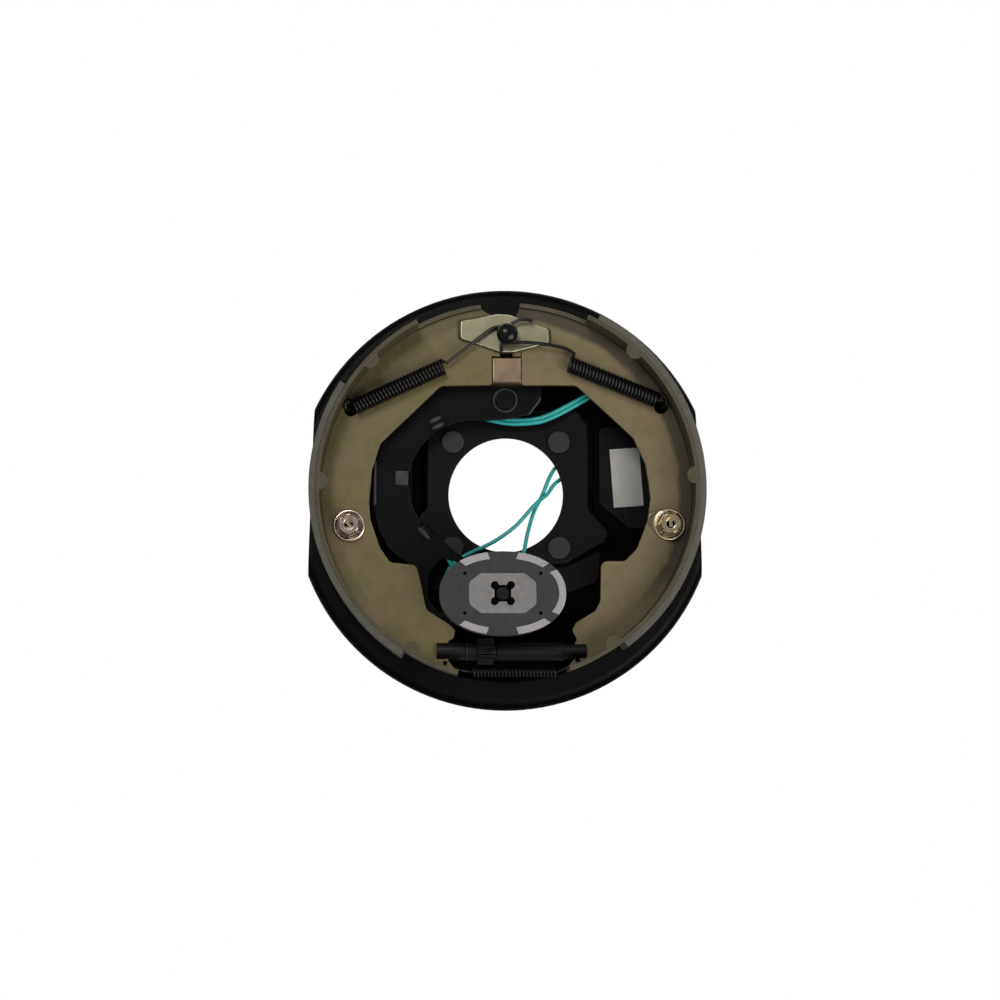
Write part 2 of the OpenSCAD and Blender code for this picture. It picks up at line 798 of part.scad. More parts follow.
module magnet_case() {
    a = magnet_w / 2;
    b = magnet_h / 2;
    color([0.44, 0.44, 0.44])
        difference() {
            union() {
                magnet_place(magnet_back_y)
                    linear_extrude(height = magnet_depth - land_drop)
                        polygon(oval(a, b));
                magnet_place(magnet_back_y)
                    linear_extrude(height = magnet_depth)
                        intersection() {
                            polygon(oval(a, b));
                            land_wedges();
                        }
            }
            magnet_place(magnet_back_y - case_floor)
                linear_extrude(height = magnet_depth)
                    polygon(oval(a - case_wall, b - case_wall));
            bar(magnet_x, magnet_z, 0, -60, magnet_post_r + 0.5);
        }
}

module cross_hole() {
    square(cross_w, center = true);
    for (a = [45:90:315])
        rotate(a)
            translate([lobe_at, 0])
                circle(r = lobe_r);
}

module magnet_core() {
    color([0.5, 0.49, 0.49])
        magnet_place(magnet_back_y - case_floor)
            linear_extrude(height = magnet_depth - case_floor)
                difference() {
                    polygon(core_outline);
                    cross_hole();
                }
}

module magnet_coil() {
    a = magnet_w / 2 - case_wall - 0.6;
    b = magnet_h / 2 - case_wall - 0.6;
    color([0.45, 0.25, 0.1])
        magnet_place(magnet_back_y - case_floor - 0.4)
            linear_extrude(height = 8)
                difference() {
                    polygon(oval(a, b));
                    scale(1.03)
                        polygon(core_outline);
                }
}

module magnet_facing() {
    a = magnet_w / 2;
    b = magnet_h / 2;
    thick = 5.4;
    color([0.37, 0.37, 0.38])
        difference() {
            union() {
                magnet_place(magnet_face_y + 0.2 + thick)
                    linear_extrude(height = thick)
                        polygon(oval(a - case_wall, b - case_wall));
                magnet_place(magnet_face_y + land_drop)
                    linear_extrude(height = land_drop - 0.2)
                        difference() {
                            polygon(oval(a, b));
                            land_wedges();
                        }
            }
            magnet_place(0)
                linear_extrude(height = 80)
                    polygon(core_outline);
            for (dx = [-24, 24], dz = [-12.6, 12.6])
                bar(magnet_x + dx, magnet_z + dz, magnet_face_y + 1.2, -80, 1.1);
        }
}

// Outer edge of a web, well outside the table, between two angles
function web_outside(a0, a1) = [
    for (p = arc([0, 0], table_in_r * 1.2, a0, a1, 8)) [p[0], p[1], 0]
];

primary_web_corners = concat(
    [
        [-9.5, 69.2, 1.5], [-42.7, 68.6, 5], [-81.6, 31, 9], [-87, 14, 12], [-88.8, -7.7, 14],
        [-87.9, -18.6, 9], [-81.6, -36.7, 8], [-75, -46, 4], [-58.3, -47.8, 4],
        [-56, -56, 4], [-51.7, -76.5, 5], [-37.3, -85.6, 5], [-33, -89.6, 2], [-34.6, -95.2, 1.2],
        [primary_tongue_x, -96.4, 0.6], [primary_tongue_x, -109.6, 0.6], [-31, -115.8, 0]
    ],
    web_outside(255, 98),
    [[-16.6, 118.7, 0], [-4.5, 111.4, 1], [-4.5, 92.6, 0], [-9.5, 90.8, 0.4]]
);

secondary_web_corners = concat(
    [
        [9.5, 69.2, 1.5], [45, 69.2, 5], [82, 35, 9], [90, 17.5, 12], [93, -4, 14],
        [91, -18.6, 9], [84, -37, 8], [76, -45, 4], [60.8, -45, 4], [60.2, -71, 5],
        [57, -77, 4], [44, -85, 5], [42, -89.6, 2], [45, -95.5, 2], [web_tongue_x, -98.5, 0.6],
        [web_tongue_x, -107.8, 0.6], [39, -113.4, 0]
    ],
    web_outside(-71, 86),
    [[8.4, 119.6, 0], [4.5, 111.4, 1], [4.5, 92.6, 0], [9.5, 90.8, 0.4]]
);

// Web of a shoe: its outline, cut to the table, with the spring and pin holes
module web(corners, hold, spring_hole, adjuster_hole) {
    color([0.4, 0.36, 0.26])
        difference() {
            intersection() {
                sheet(web_back_y, web_t)
                    polygon(rounded(corners, 3));
                bar(0, 0, web_back_y + 1, web_front_y - 1, table_in_r);
            }
            bar(0, post_z, 0, -60, notch_r);
            bar(hold[0], hold[1], 0, -60, hold_hole_r);
            bar(spring_hole[0], spring_hole[1], 0, -60, spring_hole[2]);
            bar(adjuster_hole[0], adjuster_hole[1], 0, -60, adjuster_hole[2]);
        }
}

primary_spring_hole = [-100.8, 53, 4.4];
secondary_spring_hole = [100, 55, 4.2];
primary_adjuster_hole = [-39.6, -110.7, 1.3];
secondary_adjuster_hole = [45.3, -108.9, 1.3];

module primary_web() {
    web(primary_web_corners, primary_hold, primary_spring_hole, primary_adjuster_hole);
}

module secondary_web() {
    web(secondary_web_corners, secondary_hold, secondary_spring_hole, secondary_adjuster_hole);
}

// Half-round nib bent in just behind the front edge of a table
module nib(a) {
    front = table_back_y - table_w + 0.4;
    rotate([0, -a, 0])
        bar(table_in_r + 0.3, 0, front + table_t, front, 5.6);
}

// Table of a shoe between angles a0 and a1, narrow between n0 and n1
module table(a0, a1, n0, n1, nibs) {
    front = table_back_y - table_w;
    color([0.43, 0.41, 0.35])
        difference() {
            union() {
                band(table_in_r, table_r, table_back_y, front, a0, a1);
                intersection() {
                    for (a = nibs)
                        nib(a);
                    bar(0, 0, 10, front - 1, table_in_r + 1);
                }
            }
            band(table_in_r - 9, table_r + 9, web_front_y - 3, front - 9, n0, n1);
        }
}

module primary_table() {
    table(98, 255, 90, 118.5, [137, 178, 239.6]);
}

module secondary_table() {
    table(-71, 86, 65, 94, [47.4, 4, -56]);
}

module lining(a0, a1) {
    color([0.41, 0.41, 0.37])
        band(table_r, lining_r, lining_back_y, lining_back_y - lining_w, a0, a1);
}

module primary_lining() {
    lining(147.5, 237.5);
}

module secondary_lining() {
    lining(-53, 62);
}

// Retractor springs: hook through the web, coil, then straight wire to the post
spring_y = web_front_y - retractor_d / 2 - 0.4;
wire_r = retractor_wire / 2;
coil_r = retractor_d / 2 - wire_r;
hook_r = post_neck_r + wire_r + 0.15;
primary_coil_start = [-96.5, spring_y, 54.6];
primary_coil_end = [-41.2, spring_y, 80.3];
secondary_coil_start = [95.5, spring_y, 59.4];
secondary_coil_end = [40.4, spring_y, 82];

// Loop round the anchor post's neck
function post_loop(y, a0, a1, n) = [
    for (i = [0:n])
        let (a = a0 + (a1 - a0) * i / n)
        [hook_r * cos(a), y, post_z + hook_r * sin(a)]
];

module primary_retractor_spring() {
    color([0.07, 0.07, 0.075])
        tube(concat(
            [
                [-94.6, web_back_y + 1.5, 56], [-97.8, web_back_y + 1.3, 54.8],
                [-100.2, web_back_y - 1, 53.4], [-100.9, web_mid_y, 53],
                [-101.8, web_front_y - 1.5, 52.8], [-103.2, spring_y + 1.5, 54.4],
                [-102.9, spring_y + 0.6, 57.8], [-101, spring_y, 59.8]
            ],
            coil(primary_coil_start, primary_coil_end, coil_r, coil_r, retractor_turns, 8,
                phase = -90, side = [0, -1, 0]),
            [
                [-38.4, spring_y, 82.6], [-24, spring_y, 93],
                [-9, spring_y, 102.4]
            ],
            post_loop(spring_y, 135, -90, 7),
            [[-3.4, spring_y, 94.6], [-3.9, spring_y, 89]]
        ), wire_r, 5);
}

module secondary_retractor_spring() {
    y_hook = spring_y - retractor_wire - 0.3;
    color([0.07, 0.07, 0.075])
        tube(concat(
            [
                [93.8, web_back_y + 1.5, 57.8], [97, web_back_y + 1.3, 56.4],
                [99.4, web_back_y - 1, 55.3], [100.1, web_mid_y, 55],
                [101.2, web_front_y - 1.5, 54.9], [102.7, spring_y + 1.5, 56.4],
                [102.1, spring_y + 0.4, 60], [99.8, spring_y, 62.8]
            ],
            coil(secondary_coil_start, secondary_coil_end, coil_r, coil_r, retractor_turns, 8,
                phase = 90, side = [0, -1, 0]),
            [
                [38.6, spring_y - 0.3, 89.4], [27, (spring_y + y_hook) / 2, 94],
                [14, y_hook, 95.4], [6, y_hook, 95.6]
            ],
            post_loop(y_hook, -90, -275, 6),
            [[4, y_hook, 108], [9, y_hook, 109.9], [15.5, y_hook, 111.4]]
        ), wire_r, 5);
}

module adjuster_spring() {
    z = -116.2;
    r = 2.6;
    y = web_back_y + 2.6;
    color([0.08, 0.08, 0.085])
        tube(concat(
            [
                [-40.4, web_front_y - 1.6, -112.4], [-39.8, web_front_y - 1, -111.2],
                [-39.6, web_mid_y, -110.8], [-39.2, web_back_y + 1, -111],
                [-35, y - 0.8, -112.8], [-28, y, -115.4]
            ],
            coil([-22, y, z], [32, y, z], r, r, adjuster_turns, 6, phase = 0,
                side = [0, 1, 0]),
            [
                [37, y, -114], [42, y - 0.8, -111.2], [45, web_back_y + 1, -109.2],
                [45.3, web_mid_y, -109], [45.3, web_front_y - 1, -109.2],
                [45.6, web_front_y - 1.6, -110.2]
            ]
        ), 0.6, 5);
}

// Slot across the end of the nut or the socket, for the web's tongue
module fork_cut(x0, x1) {
    block_box(
        min(x0, x1), max(x0, x1), web_mid_y - fork_slot / 2, web_mid_y + fork_slot / 2,
        adjuster_z - 20, adjuster_z + 20
    );
}

module adjuster_nut() {
    color([0.09, 0.095, 0.1])
        difference() {
            union() {
                cross_bar(-6.3, nut_end_x, nut_d / 2);
                cross_bar(nut_end_x, nut_tip_x, nut_d / 2 - 0.9);
            }
            cross_bar(-10, nut_end_x - 2, thread_r + 0.06);
            fork_cut(web_tongue_x - 0.3, nut_tip_x + 1);
        }
}

// Star wheel: teeth as a polygon, drawn round the screw's axis
module star_wheel() {
    root = star_d / 2 - 1.5;
    step = 360 / star_teeth;
    translate([star_x0, web_mid_y, adjuster_z])
        rotate([90, 0, 90])
            linear_extrude(height = star_x1 - star_x0)
                polygon([
                    for (i = [0:star_teeth - 1])
                        each [
                            root * [cos((i - 0.28) * step), sin((i - 0.28) * step)],
                            star_d / 2 * [cos((i - 0.13) * step), sin((i - 0.13) * step)],
                            star_d / 2 * [cos((i + 0.13) * step), sin((i + 0.13) * step)],
                            root * [cos((i + 0.28) * step), sin((i + 0.28) * step)]
                        ]
                ]);
}

module star_wheel_screw() {
    color([0.08, 0.085, 0.09]) {
        star_wheel();
        cross_bar(washer_x + 1.3, star_x0, 6);
        cross_bar(star_x1, star_x1 + 1.6, 5.4);
        cross_bar(star_x1, 31, thread_r);
        cross_bar(pilot_end_x, washer_x + 1.3, pilot_r);
    }
}

module adjuster_washer() {
    color([0.3, 0.3, 0.3])
        difference() {
            cross_bar(washer_x, washer_x + 1.2, 6.2);
            cross_bar(washer_x - 1, washer_x + 3, pilot_r + 0.06);
        }
}

module adjuster_socket() {
    color([0.09, 0.095, 0.1])
        difference() {
            cross_bar(socket_tip_x, socket_x, 5.8);
            cross_bar(-40, socket_x + 1, socket_bore_r);
            fork_cut(socket_tip_x - 1, primary_tongue_x + 0.3);
        }
}

backing_plate();
mounting_studs();
anchor_post();
anchor_plate();
label_sticker();
wire_grommet();
adjuster_plug();
hold_down_pin(primary_hold, -50);  // primary_hold_down_pin
hold_down_spring(primary_hold);  // primary_hold_down_spring
hold_down_cup(primary_hold, 30, false);  // primary_hold_down_cup
hold_down_pin(secondary_hold, 90);  // secondary_hold_down_pin
hold_down_spring(secondary_hold);  // secondary_hold_down_spring
hold_down_cup(secondary_hold, 0, true);  // secondary_hold_down_cup
loose_lead(loose_long_route);  // loose_lead_long
loose_lead(loose_short_route);  // loose_lead_short
lever_arm();
lever_clip();
cam_block();
magnet_post();
magnet_clip();
magnet_lead(1);  // magnet_lead_inner
magnet_lead(-1);  // magnet_lead_outer
magnet_spring();
magnet_case();
magnet_core();
magnet_coil();
magnet_facing();
primary_web();
primary_table();
primary_lining();
secondary_web();
secondary_table();
secondary_lining();
primary_retractor_spring();
secondary_retractor_spring();
adjuster_spring();
adjuster_nut();
star_wheel_screw();
adjuster_washer();
adjuster_socket();
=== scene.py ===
"""Looks of an electric drum brake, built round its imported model.

The brake is seen from the drum side: X is to the right, Z is up and the axle
runs along Y, with the drum side at negative Y. Sizes are in millimetres and
become metres where a mesh is made.
"""

import logging
import math
from dataclasses import dataclass, field
from enum import Enum

import bmesh
import bpy
from mathutils import Matrix, Vector


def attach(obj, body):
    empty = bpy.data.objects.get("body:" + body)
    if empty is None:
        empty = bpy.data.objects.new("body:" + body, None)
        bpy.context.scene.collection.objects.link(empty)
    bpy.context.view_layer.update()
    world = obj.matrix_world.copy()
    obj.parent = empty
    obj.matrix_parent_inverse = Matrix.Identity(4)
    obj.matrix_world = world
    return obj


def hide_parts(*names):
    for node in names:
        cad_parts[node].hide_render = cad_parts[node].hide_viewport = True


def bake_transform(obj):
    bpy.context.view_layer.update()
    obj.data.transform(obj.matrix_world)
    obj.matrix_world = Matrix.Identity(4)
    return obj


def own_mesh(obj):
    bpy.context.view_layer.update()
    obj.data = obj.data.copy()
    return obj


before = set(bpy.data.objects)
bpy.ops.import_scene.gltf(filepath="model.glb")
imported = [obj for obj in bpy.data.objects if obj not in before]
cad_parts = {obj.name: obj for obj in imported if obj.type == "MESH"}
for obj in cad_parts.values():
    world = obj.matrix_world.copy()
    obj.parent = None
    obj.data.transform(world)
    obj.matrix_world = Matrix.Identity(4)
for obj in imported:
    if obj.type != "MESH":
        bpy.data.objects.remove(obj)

log = logging.getLogger("drum_brake")
MM = 0.001
# Face attribute that marks edges lightened by wear and by painted highlight
WEAR_AND_HIGHLIGHT = "wear_and_highlight"
Point = tuple[float, float, float]
Circle = tuple[float, float, float]
Tree = bpy.types.NodeTree
Socket = bpy.types.NodeSocket


class Body(str, Enum):
    """The moving bodies of the brake."""

    BACKING = "backing"
    LEVER = "lever"
    MAGNET = "magnet"
    SECONDARY = "secondary_shoe"
    WASHER = "thrust_washer"
    STAR = "star_wheel"
    SOCKET = "socket"
    PRIMARY = "primary_shoe"


class Grain(Enum):
    """Which way the fine marks of a surface run."""

    EVEN = (1.0, 1.0, 1.0)
    ALONG_X = (0.06, 1.0, 1.0)
    ROUND_THE_AXLE = (0.04, 1.0, 0.04)


def linear(colour: str) -> tuple[float, float, float, float]:
    """Turns an sRGB hex colour into linear light.

    Args:
        colour: Six hex digits, such as "6e6655".

    Returns:
        Linear red, green, blue and an alpha of 1.
    """
    parts = [int(colour[i:i + 2], 16) / 255 for i in (0, 2, 4)]
    values = [p / 12.92 if p <= 0.04045 else ((p + 0.055) / 1.055) ** 2.4 for p in parts]
    return (values[0], values[1], values[2], 1.0)


def add_node(
    tree: bpy.types.NodeTree,
    kind: str,
    settings: dict | None = None,
    inputs: dict | None = None,
) -> bpy.types.Node:
    """Adds one node, with its settings, values and links.

    Args:
        tree: The tree that gets the node.
        kind: Blender's name of the node type.
        settings: Properties of the node.
        inputs: A value or a socket for each named or numbered input.

    Returns:
        The new node.
    """
    node = tree.nodes.new(kind)
    for key, value in (settings or {}).items():
        setattr(node, key, value)
    for key, value in (inputs or {}).items():
        if isinstance(value, bpy.types.NodeSocket):
            tree.links.new(value, node.inputs[key])
        else:
            node.inputs[key].default_value = value
    return node


def span(low: float, high: float, start: float = 0.0, end: float = 1.0) -> dict[str, float]:
    """Returns the limits with which a Map Range node turns low to high into start to end."""
    return {"From Min": low, "From Max": high, "To Min": start, "To Max": end}


def clear_tree(owner: bpy.types.ID) -> Tree:
    """Empties the node tree of a material or a world.

    Args:
        owner: The material or the world.

    Returns:
        Its tree.
    """
    owner.use_nodes = True
    owner.node_tree.nodes.clear()
    return owner.node_tree


def patches(
    place: Socket, size: float, detail: float, limits: dict[str, float], roughness: float = 0.5,
) -> Socket:
    """Makes soft patches of noise.

    Args:
        place: Object coordinates.
        size: Size of the patches, in millimetres.
        detail: How many finer layers they have.
        limits: How their noise is stretched.
        roughness: How strong the finer layers are.

    Returns:
        The patches, from 0 to 1.
    """
    tree = place.id_data
    noise = add_node(
        tree, "ShaderNodeTexNoise",
        inputs={
            "Vector": place, "Scale": 1 / (size * MM), "Detail": detail, "Roughness": roughness,
        },
    ).outputs["Fac"]
    return add_node(
        tree, "ShaderNodeMapRange", inputs={"Value": noise, **limits},
    ).outputs["Result"]


def away_from_axis(place: Socket, keep: Point) -> Socket:
    """Measures the distance from an axis.

    Args:
        place: Object coordinates.
        keep: 0 along the axis, and 1 across it.

    Returns:
        The distance, in metres.
    """
    tree = place.id_data
    flat = add_node(
        tree, "ShaderNodeMapping", inputs={"Vector": place, "Scale": keep},
    ).outputs["Vector"]
    return add_node(
        tree, "ShaderNodeVectorMath", {"operation": "LENGTH"}, {0: flat},
    ).outputs["Value"]


# Numbered sockets of the Mix node when it mixes colours, and when it mixes values
MIX_A = 6
MIX_B = 7
MIX_OUT = 2
VALUE_A = 2
VALUE_B = 3
VALUE_OUT = 0

# Noise keeps mostly to its middle, so each pattern is stretched between two of its values
DRIFT_NOISE = (0.36, 0.64)
THIRD_NOISE = (0.46, 0.66)
GRAIN_NOISE = (0.3, 0.7)
# The third colour's patches: their strength, their scale against that of the other
# patches, and how far their noise is moved, in metres
THIRD_SHARE = 0.85
THIRD_SCALE = 0.7
THIRD_MOVE = (0.31, 0.17, 0.23)
# Softness of a speck's edge
SPECK_EDGE = 0.12
# Length of a stretch of edge that is lightened, partly as rubbed wear and partly as a
# painted highlight, and the noise where it starts and where it is full. The share of a
# finish lowers both by half of itself
WEAR_AND_HIGHLIGHT_LENGTH = 5.0
WEAR_AND_HIGHLIGHT_NOISE = (0.75, 0.95)
# The painted shadow of the table on the webs, with some grime: its colour, the length and
# depth of its border's waves, and the two levels along Z between which it ends
TABLE_SHADOW_AND_GRIME_COLOUR = "1d150b"
TABLE_SHADOW_AND_GRIME_WAVE = 14.0
TABLE_SHADOW_AND_GRIME_DEPTH = 7.0
TABLE_SHADOW_AND_GRIME_END = (-75.0, -45.0)
# Y of the normals between which a face turns out of the painted recess shade, to the rear
REAR_NORMAL = (0.1, 0.4)
# Y of the normals that still face the drum side
TO_THE_DRUM = -0.7
# Vertices of a solid that are closer than this are one
WELD = 0.004
# Faces of a small box that meet at more than this many degrees keep their edge
BOX_CREASE = 50.0


@dataclass(frozen=True)
class Finish:
    """How one real surface looks. Lengths are in millimetres.

    Attributes:
        name: Plain name of the real material and how it was made.
        colour: Its colour, as sRGB hex.
        second: The colour that it drifts to in soft patches.
        patch: Size of those patches.
        roughness: Roughness at the middle of its range.
        spread: How far the roughness drifts to each side.
        metallic: 1 for bare or plated metal.
        specular: Strength of the gloss of what isn't metal.
        grain: Size of the fine grain.
        relief: Height of the fine grain.
        run: Which way the grain runs.
        wear_and_highlight: The colour that shows where an edge is rubbed, and where it
            stands for a painted highlight, or none.
        wear_and_highlight_share: How much of the edges is lightened; from about 1 up it is
            nearly all.
        speck: The colour of loose specks, or none.
        speck_size: Spacing of the specks.
        speck_share: Share of the surface that the specks cover.
        third: A second colour of drift, in patches of its own, or none.
        painted_recess_shade: Painted shade: two levels along Y, and the share of its
        colour and gloss that a groove keeps behind the second one.
        table_shadow_and_grime: Two distances from the axle, and the share of the colour
        that the painted shadow of the table, with some grime, leaves outside the second one.
    """

    name: str
    colour: str
    second: str
    patch: float
    roughness: float
    spread: float = 0.08
    metallic: float = 0.0
    specular: float = 0.5
    grain: float = 0.6
    relief: float = 0.01
    run: Grain = Grain.EVEN
    wear_and_highlight: str = ""
    wear_and_highlight_share: float = 0.5
    speck: str = ""
    speck_size: float = 1.2
    speck_share: float = 0.1
    third: str = ""
    painted_recess_shade: tuple[float, float, float] | None = None
    table_shadow_and_grime: tuple[float, float, float] | None = None

    def material(self) -> bpy.types.Material:
        """Returns the material, built the first time that it is asked for."""
        return bpy.data.materials.get(self.name) or self._build()

    def _build(self) -> bpy.types.Material:
        """Builds the node tree of the finish.

        Returns:
            The new material.
        """
        made = bpy.data.materials.new(self.name)
        tree = clear_tree(made)
        place = add_node(tree, "ShaderNodeTexCoord").outputs["Object"]
        colour: Socket | tuple = linear(self.colour)
        # Colour layers: drift, third, specks, edges lightened as wear and painted highlight, and
        # the painted shadow of the table with grime
        for top, share in (
            (self.second, self._drift), (self.third, self._third), (self.speck, self._specks),
            (self.wear_and_highlight, self._wear_and_highlight), (TABLE_SHADOW_AND_GRIME_COLOUR if self.table_shadow_and_grime else "", self._table_shadow_and_grime),
        ):
            if top:
                colour = add_node(
                    tree, "ShaderNodeMix", {"data_type": "RGBA"},
                    {0: share(place), MIX_A: colour, MIX_B: linear(top)},
                ).outputs[MIX_OUT]
        run = add_node(
            tree, "ShaderNodeMapping", inputs={"Vector": place, "Scale": self.run.value},
        ).outputs["Vector"]
        grain = add_node(
            tree, "ShaderNodeTexNoise",
            inputs={
                "Vector": run, "Scale": 1 / (self.grain * MM), "Detail": 3.0, "Roughness": 0.55,
            },
        ).outputs["Fac"]
        limits = (max(0.05, self.roughness - self.spread), min(1.0, self.roughness + self.spread))
        roughness = add_node(
            tree, "ShaderNodeMapRange", inputs={"Value": grain, **span(*GRAIN_NOISE, *limits)},
        ).outputs["Result"]
        bump = add_node(
            tree, "ShaderNodeBump",
            inputs={"Height": grain, "Strength": 1.0, "Distance": self.relief * MM},
        ).outputs["Normal"]
        shader = add_node(
            tree, "ShaderNodeBsdfPrincipled",
            inputs={
                "Base Color": colour, "Roughness": roughness, "Normal": bump,
                "Metallic": self.metallic, "Specular IOR Level": self.specular,
            },
        )
        # Painted shade: darker colour and less gloss deep in grooves and recesses
        if self.painted_recess_shade:
            self._paint_recess_shade(place, shader)
        add_node(tree, "ShaderNodeOutputMaterial", inputs={"Surface": shader.outputs["BSDF"]})
        return made

    def _drift(self, place: Socket) -> Socket:
        """Returns the share of the second colour, in soft patches."""
        return patches(place, self.patch, 5.0, span(*DRIFT_NOISE), 0.62)

    def _third(self, place: Socket) -> Socket:
        """Finds the share of the third colour, in wider patches that lie elsewhere.

        Args:
            place: Object coordinates.

        Returns:
            The share, from 0 to 1.
        """
        moved = add_node(
            place.id_data, "ShaderNodeMapping", inputs={"Vector": place, "Location": THIRD_MOVE},
        ).outputs["Vector"]
        return patches(moved, self.patch / THIRD_SCALE, 4.0, span(*THIRD_NOISE, 0.0, THIRD_SHARE))

    def _specks(self, place: Socket) -> Socket:
        """Finds the share of the specks, one in the middle of each cell.

        Args:
            place: Object coordinates.

        Returns:
            The share, from 0 to 1.
        """
        tree = place.id_data
        chips = add_node(
            tree, "ShaderNodeTexVoronoi",
            inputs={"Vector": place, "Scale": 1 / (self.speck_size * MM), "Randomness": 1.0},
        ).outputs["Distance"]
        limits = span(self.speck_share, self.speck_share + SPECK_EDGE, 1.0, 0.0)
        return add_node(
            tree, "ShaderNodeMapRange", inputs={"Value": chips, **limits},
        ).outputs["Result"]

    def _wear_and_highlight(self, place: Socket) -> Socket:
        """Finds the stretches of the rounded edges that are lightened, as wear and painted
        highlight.

        Args:
            place: Object coordinates.

        Returns:
            The share, from 0 to 1.
        """
        tree = place.id_data
        limits = span(*(level - self.wear_and_highlight_share * 0.5 for level in WEAR_AND_HIGHLIGHT_NOISE))
        share = patches(place, WEAR_AND_HIGHLIGHT_LENGTH, 4.0, limits)
        edge = add_node(tree, "ShaderNodeAttribute", {"attribute_name": WEAR_AND_HIGHLIGHT}).outputs["Fac"]
        return add_node(
            tree, "ShaderNodeMath", {"operation": "MULTIPLY"}, {0: share, 1: edge},
        ).outputs["Value"]

    def _table_shadow_and_grime(self, place: Socket) -> Socket:
        """Finds the painted shadow of the table, with grime, up to a wavy border, but not at the
        bottom.

        Args:
            place: Object coordinates.

        Returns:
            The share, from 0 to 1.
        """
        tree = place.id_data
        first, last, keep = self.table_shadow_and_grime
        away = away_from_axis(place, (1.0, 0.0, 1.0))
        waves = add_node(
            tree, "ShaderNodeTexNoise",
            inputs={"Vector": place, "Scale": 1 / (TABLE_SHADOW_AND_GRIME_WAVE * MM), "Detail": 2.0},
        ).outputs["Fac"]
        border = add_node(
            tree, "ShaderNodeMath", {"operation": "MULTIPLY_ADD"},
            {0: waves, 1: TABLE_SHADOW_AND_GRIME_DEPTH * MM, 2: away},
        ).outputs["Value"]
        outside = add_node(
            tree, "ShaderNodeMapRange",
            inputs={"Value": border, **span(first * MM, last * MM, 0.0, 1 - keep)},
        ).outputs["Result"]
        height = add_node(tree, "ShaderNodeSeparateXYZ", inputs={"Vector": place}).outputs["Z"]
        above = add_node(
            tree, "ShaderNodeMapRange",
            inputs={"Value": height, **span(*(level * MM for level in TABLE_SHADOW_AND_GRIME_END))},
        ).outputs["Result"]
        return add_node(
            tree, "ShaderNodeMath", {"operation": "MINIMUM"}, {0: outside, 1: above},
        ).outputs["Value"]

    def _paint_recess_shade(self, place: Socket, shader: bpy.types.Node) -> None:
        """Paints shade: dims colour and gloss behind a level along Y, on faces towards the drum
        side.

        Args:
            place: Object coordinates.
            shader: The shader, which has its colour and its gloss by now.
        """
        tree = place.id_data
        first, last, keep = self.painted_recess_shade
        level = add_node(tree, "ShaderNodeSeparateXYZ", inputs={"Vector": place}).outputs["Y"]
        depth = add_node(
            tree, "ShaderNodeMapRange",
            inputs={"Value": level, **span(first * MM, last * MM, 1.0, keep)},
        ).outputs["Result"]
        normal = add_node(tree, "ShaderNodeTexCoord").outputs["Normal"]
        turned = add_node(tree, "ShaderNodeSeparateXYZ", inputs={"Vector": normal}).outputs["Y"]
        rear = add_node(
            tree, "ShaderNodeMapRange", inputs={"Value": turned, **span(*REAR_NORMAL)},
        ).outputs["Result"]
        share = add_node(
            tree, "ShaderNodeMath", {"operation": "MAXIMUM"}, {0: depth, 1: rear},
        ).outputs["Value"]
        gloss = add_node(
            tree, "ShaderNodeMath", {"operation": "MULTIPLY"}, {0: share, 1: self.specular},
        ).outputs["Value"]
        under = shader.inputs["Base Color"].links[0].from_socket
        colour = add_node(
            tree, "ShaderNodeMix", {"data_type": "RGBA"},
            {0: share, MIX_A: linear("000000"), MIX_B: under},
        ).outputs[MIX_OUT]
        tree.links.new(colour, shader.inputs["Base Color"])
        tree.links.new(gloss, shader.inputs["Specular IOR Level"])


# Black paint dipped on stamped steel: nearly black, satin, with a faint orange peel
# Faces deep in its grooves get painted shade: darker colour and less gloss behind a level along Y
BLACK_PAINT = Finish(
    "dipped_black_paint", "08090a", "0d0e10", 26, 0.44, 0.06, specular=0.1,
    grain=1.6, relief=0.02, wear_and_highlight="242628", wear_and_highlight_share=0.7, painted_recess_shade=(3.4, 5.2, 0.25),
)
# The same paint on the lever arm, with finer peel and a little less gloss
ARM_PAINT = Finish(
    "dipped_arm_paint", "07090b", "0a0c0e", 18, 0.46, 0.05, specular=0.08,
    grain=1.4, relief=0.02, wear_and_highlight="3a3e41", wear_and_highlight_share=0.8,
)
# Phosphated and oiled steel: dark, with broad dull highlights
PHOSPHATE = Finish(
    "phosphated_oiled_steel", "19191a", "141415", 6, 0.36, 0.08, specular=0.4,
    grain=0.4, relief=0.008, wear_and_highlight="38393a", wear_and_highlight_share=0.6,
)
# The same steel on the anchor post's rolled head: darker and smoother, with hard glints
HEAD_STEEL = Finish(
    "rolled_dark_head", "0a0c0d", "0e1011", 4, 0.17, 0.05, specular=0.22,
    grain=0.4, relief=0.01, wear_and_highlight="3a3d40", wear_and_highlight_share=0.6,
)
# The same steel on the adjuster and the magnet's post, oiled nearly black
SCREW_STEEL = Finish(
    "oiled_screw_steel", "0b0b0c", "0f0f10", 4, 0.4, 0.07, specular=0.22,
    grain=0.4, relief=0.008, wear_and_highlight="2c2d2e",
)
# Near-black steel as painted shade, deep in the magnet's bore and in the pits of its facing
SHADE_BLACK_STEEL = Finish(
    "shade_black_steel", "030303", "050505", 3, 0.7, 0.05, specular=0.05,
    grain=0.4, relief=0.004,
)
# Black paint rubbed thin, and lightened grey as a painted highlight, on a strap, the ridges and
# the arm's raised edges
STRAP_PAINT_AND_HIGHLIGHT = Finish(
    "rubbed_paint_and_highlight", "3b3e40", "323537", 3, 0.5, 0.06, specular=0.3,
    grain=0.5, relief=0.01,
)
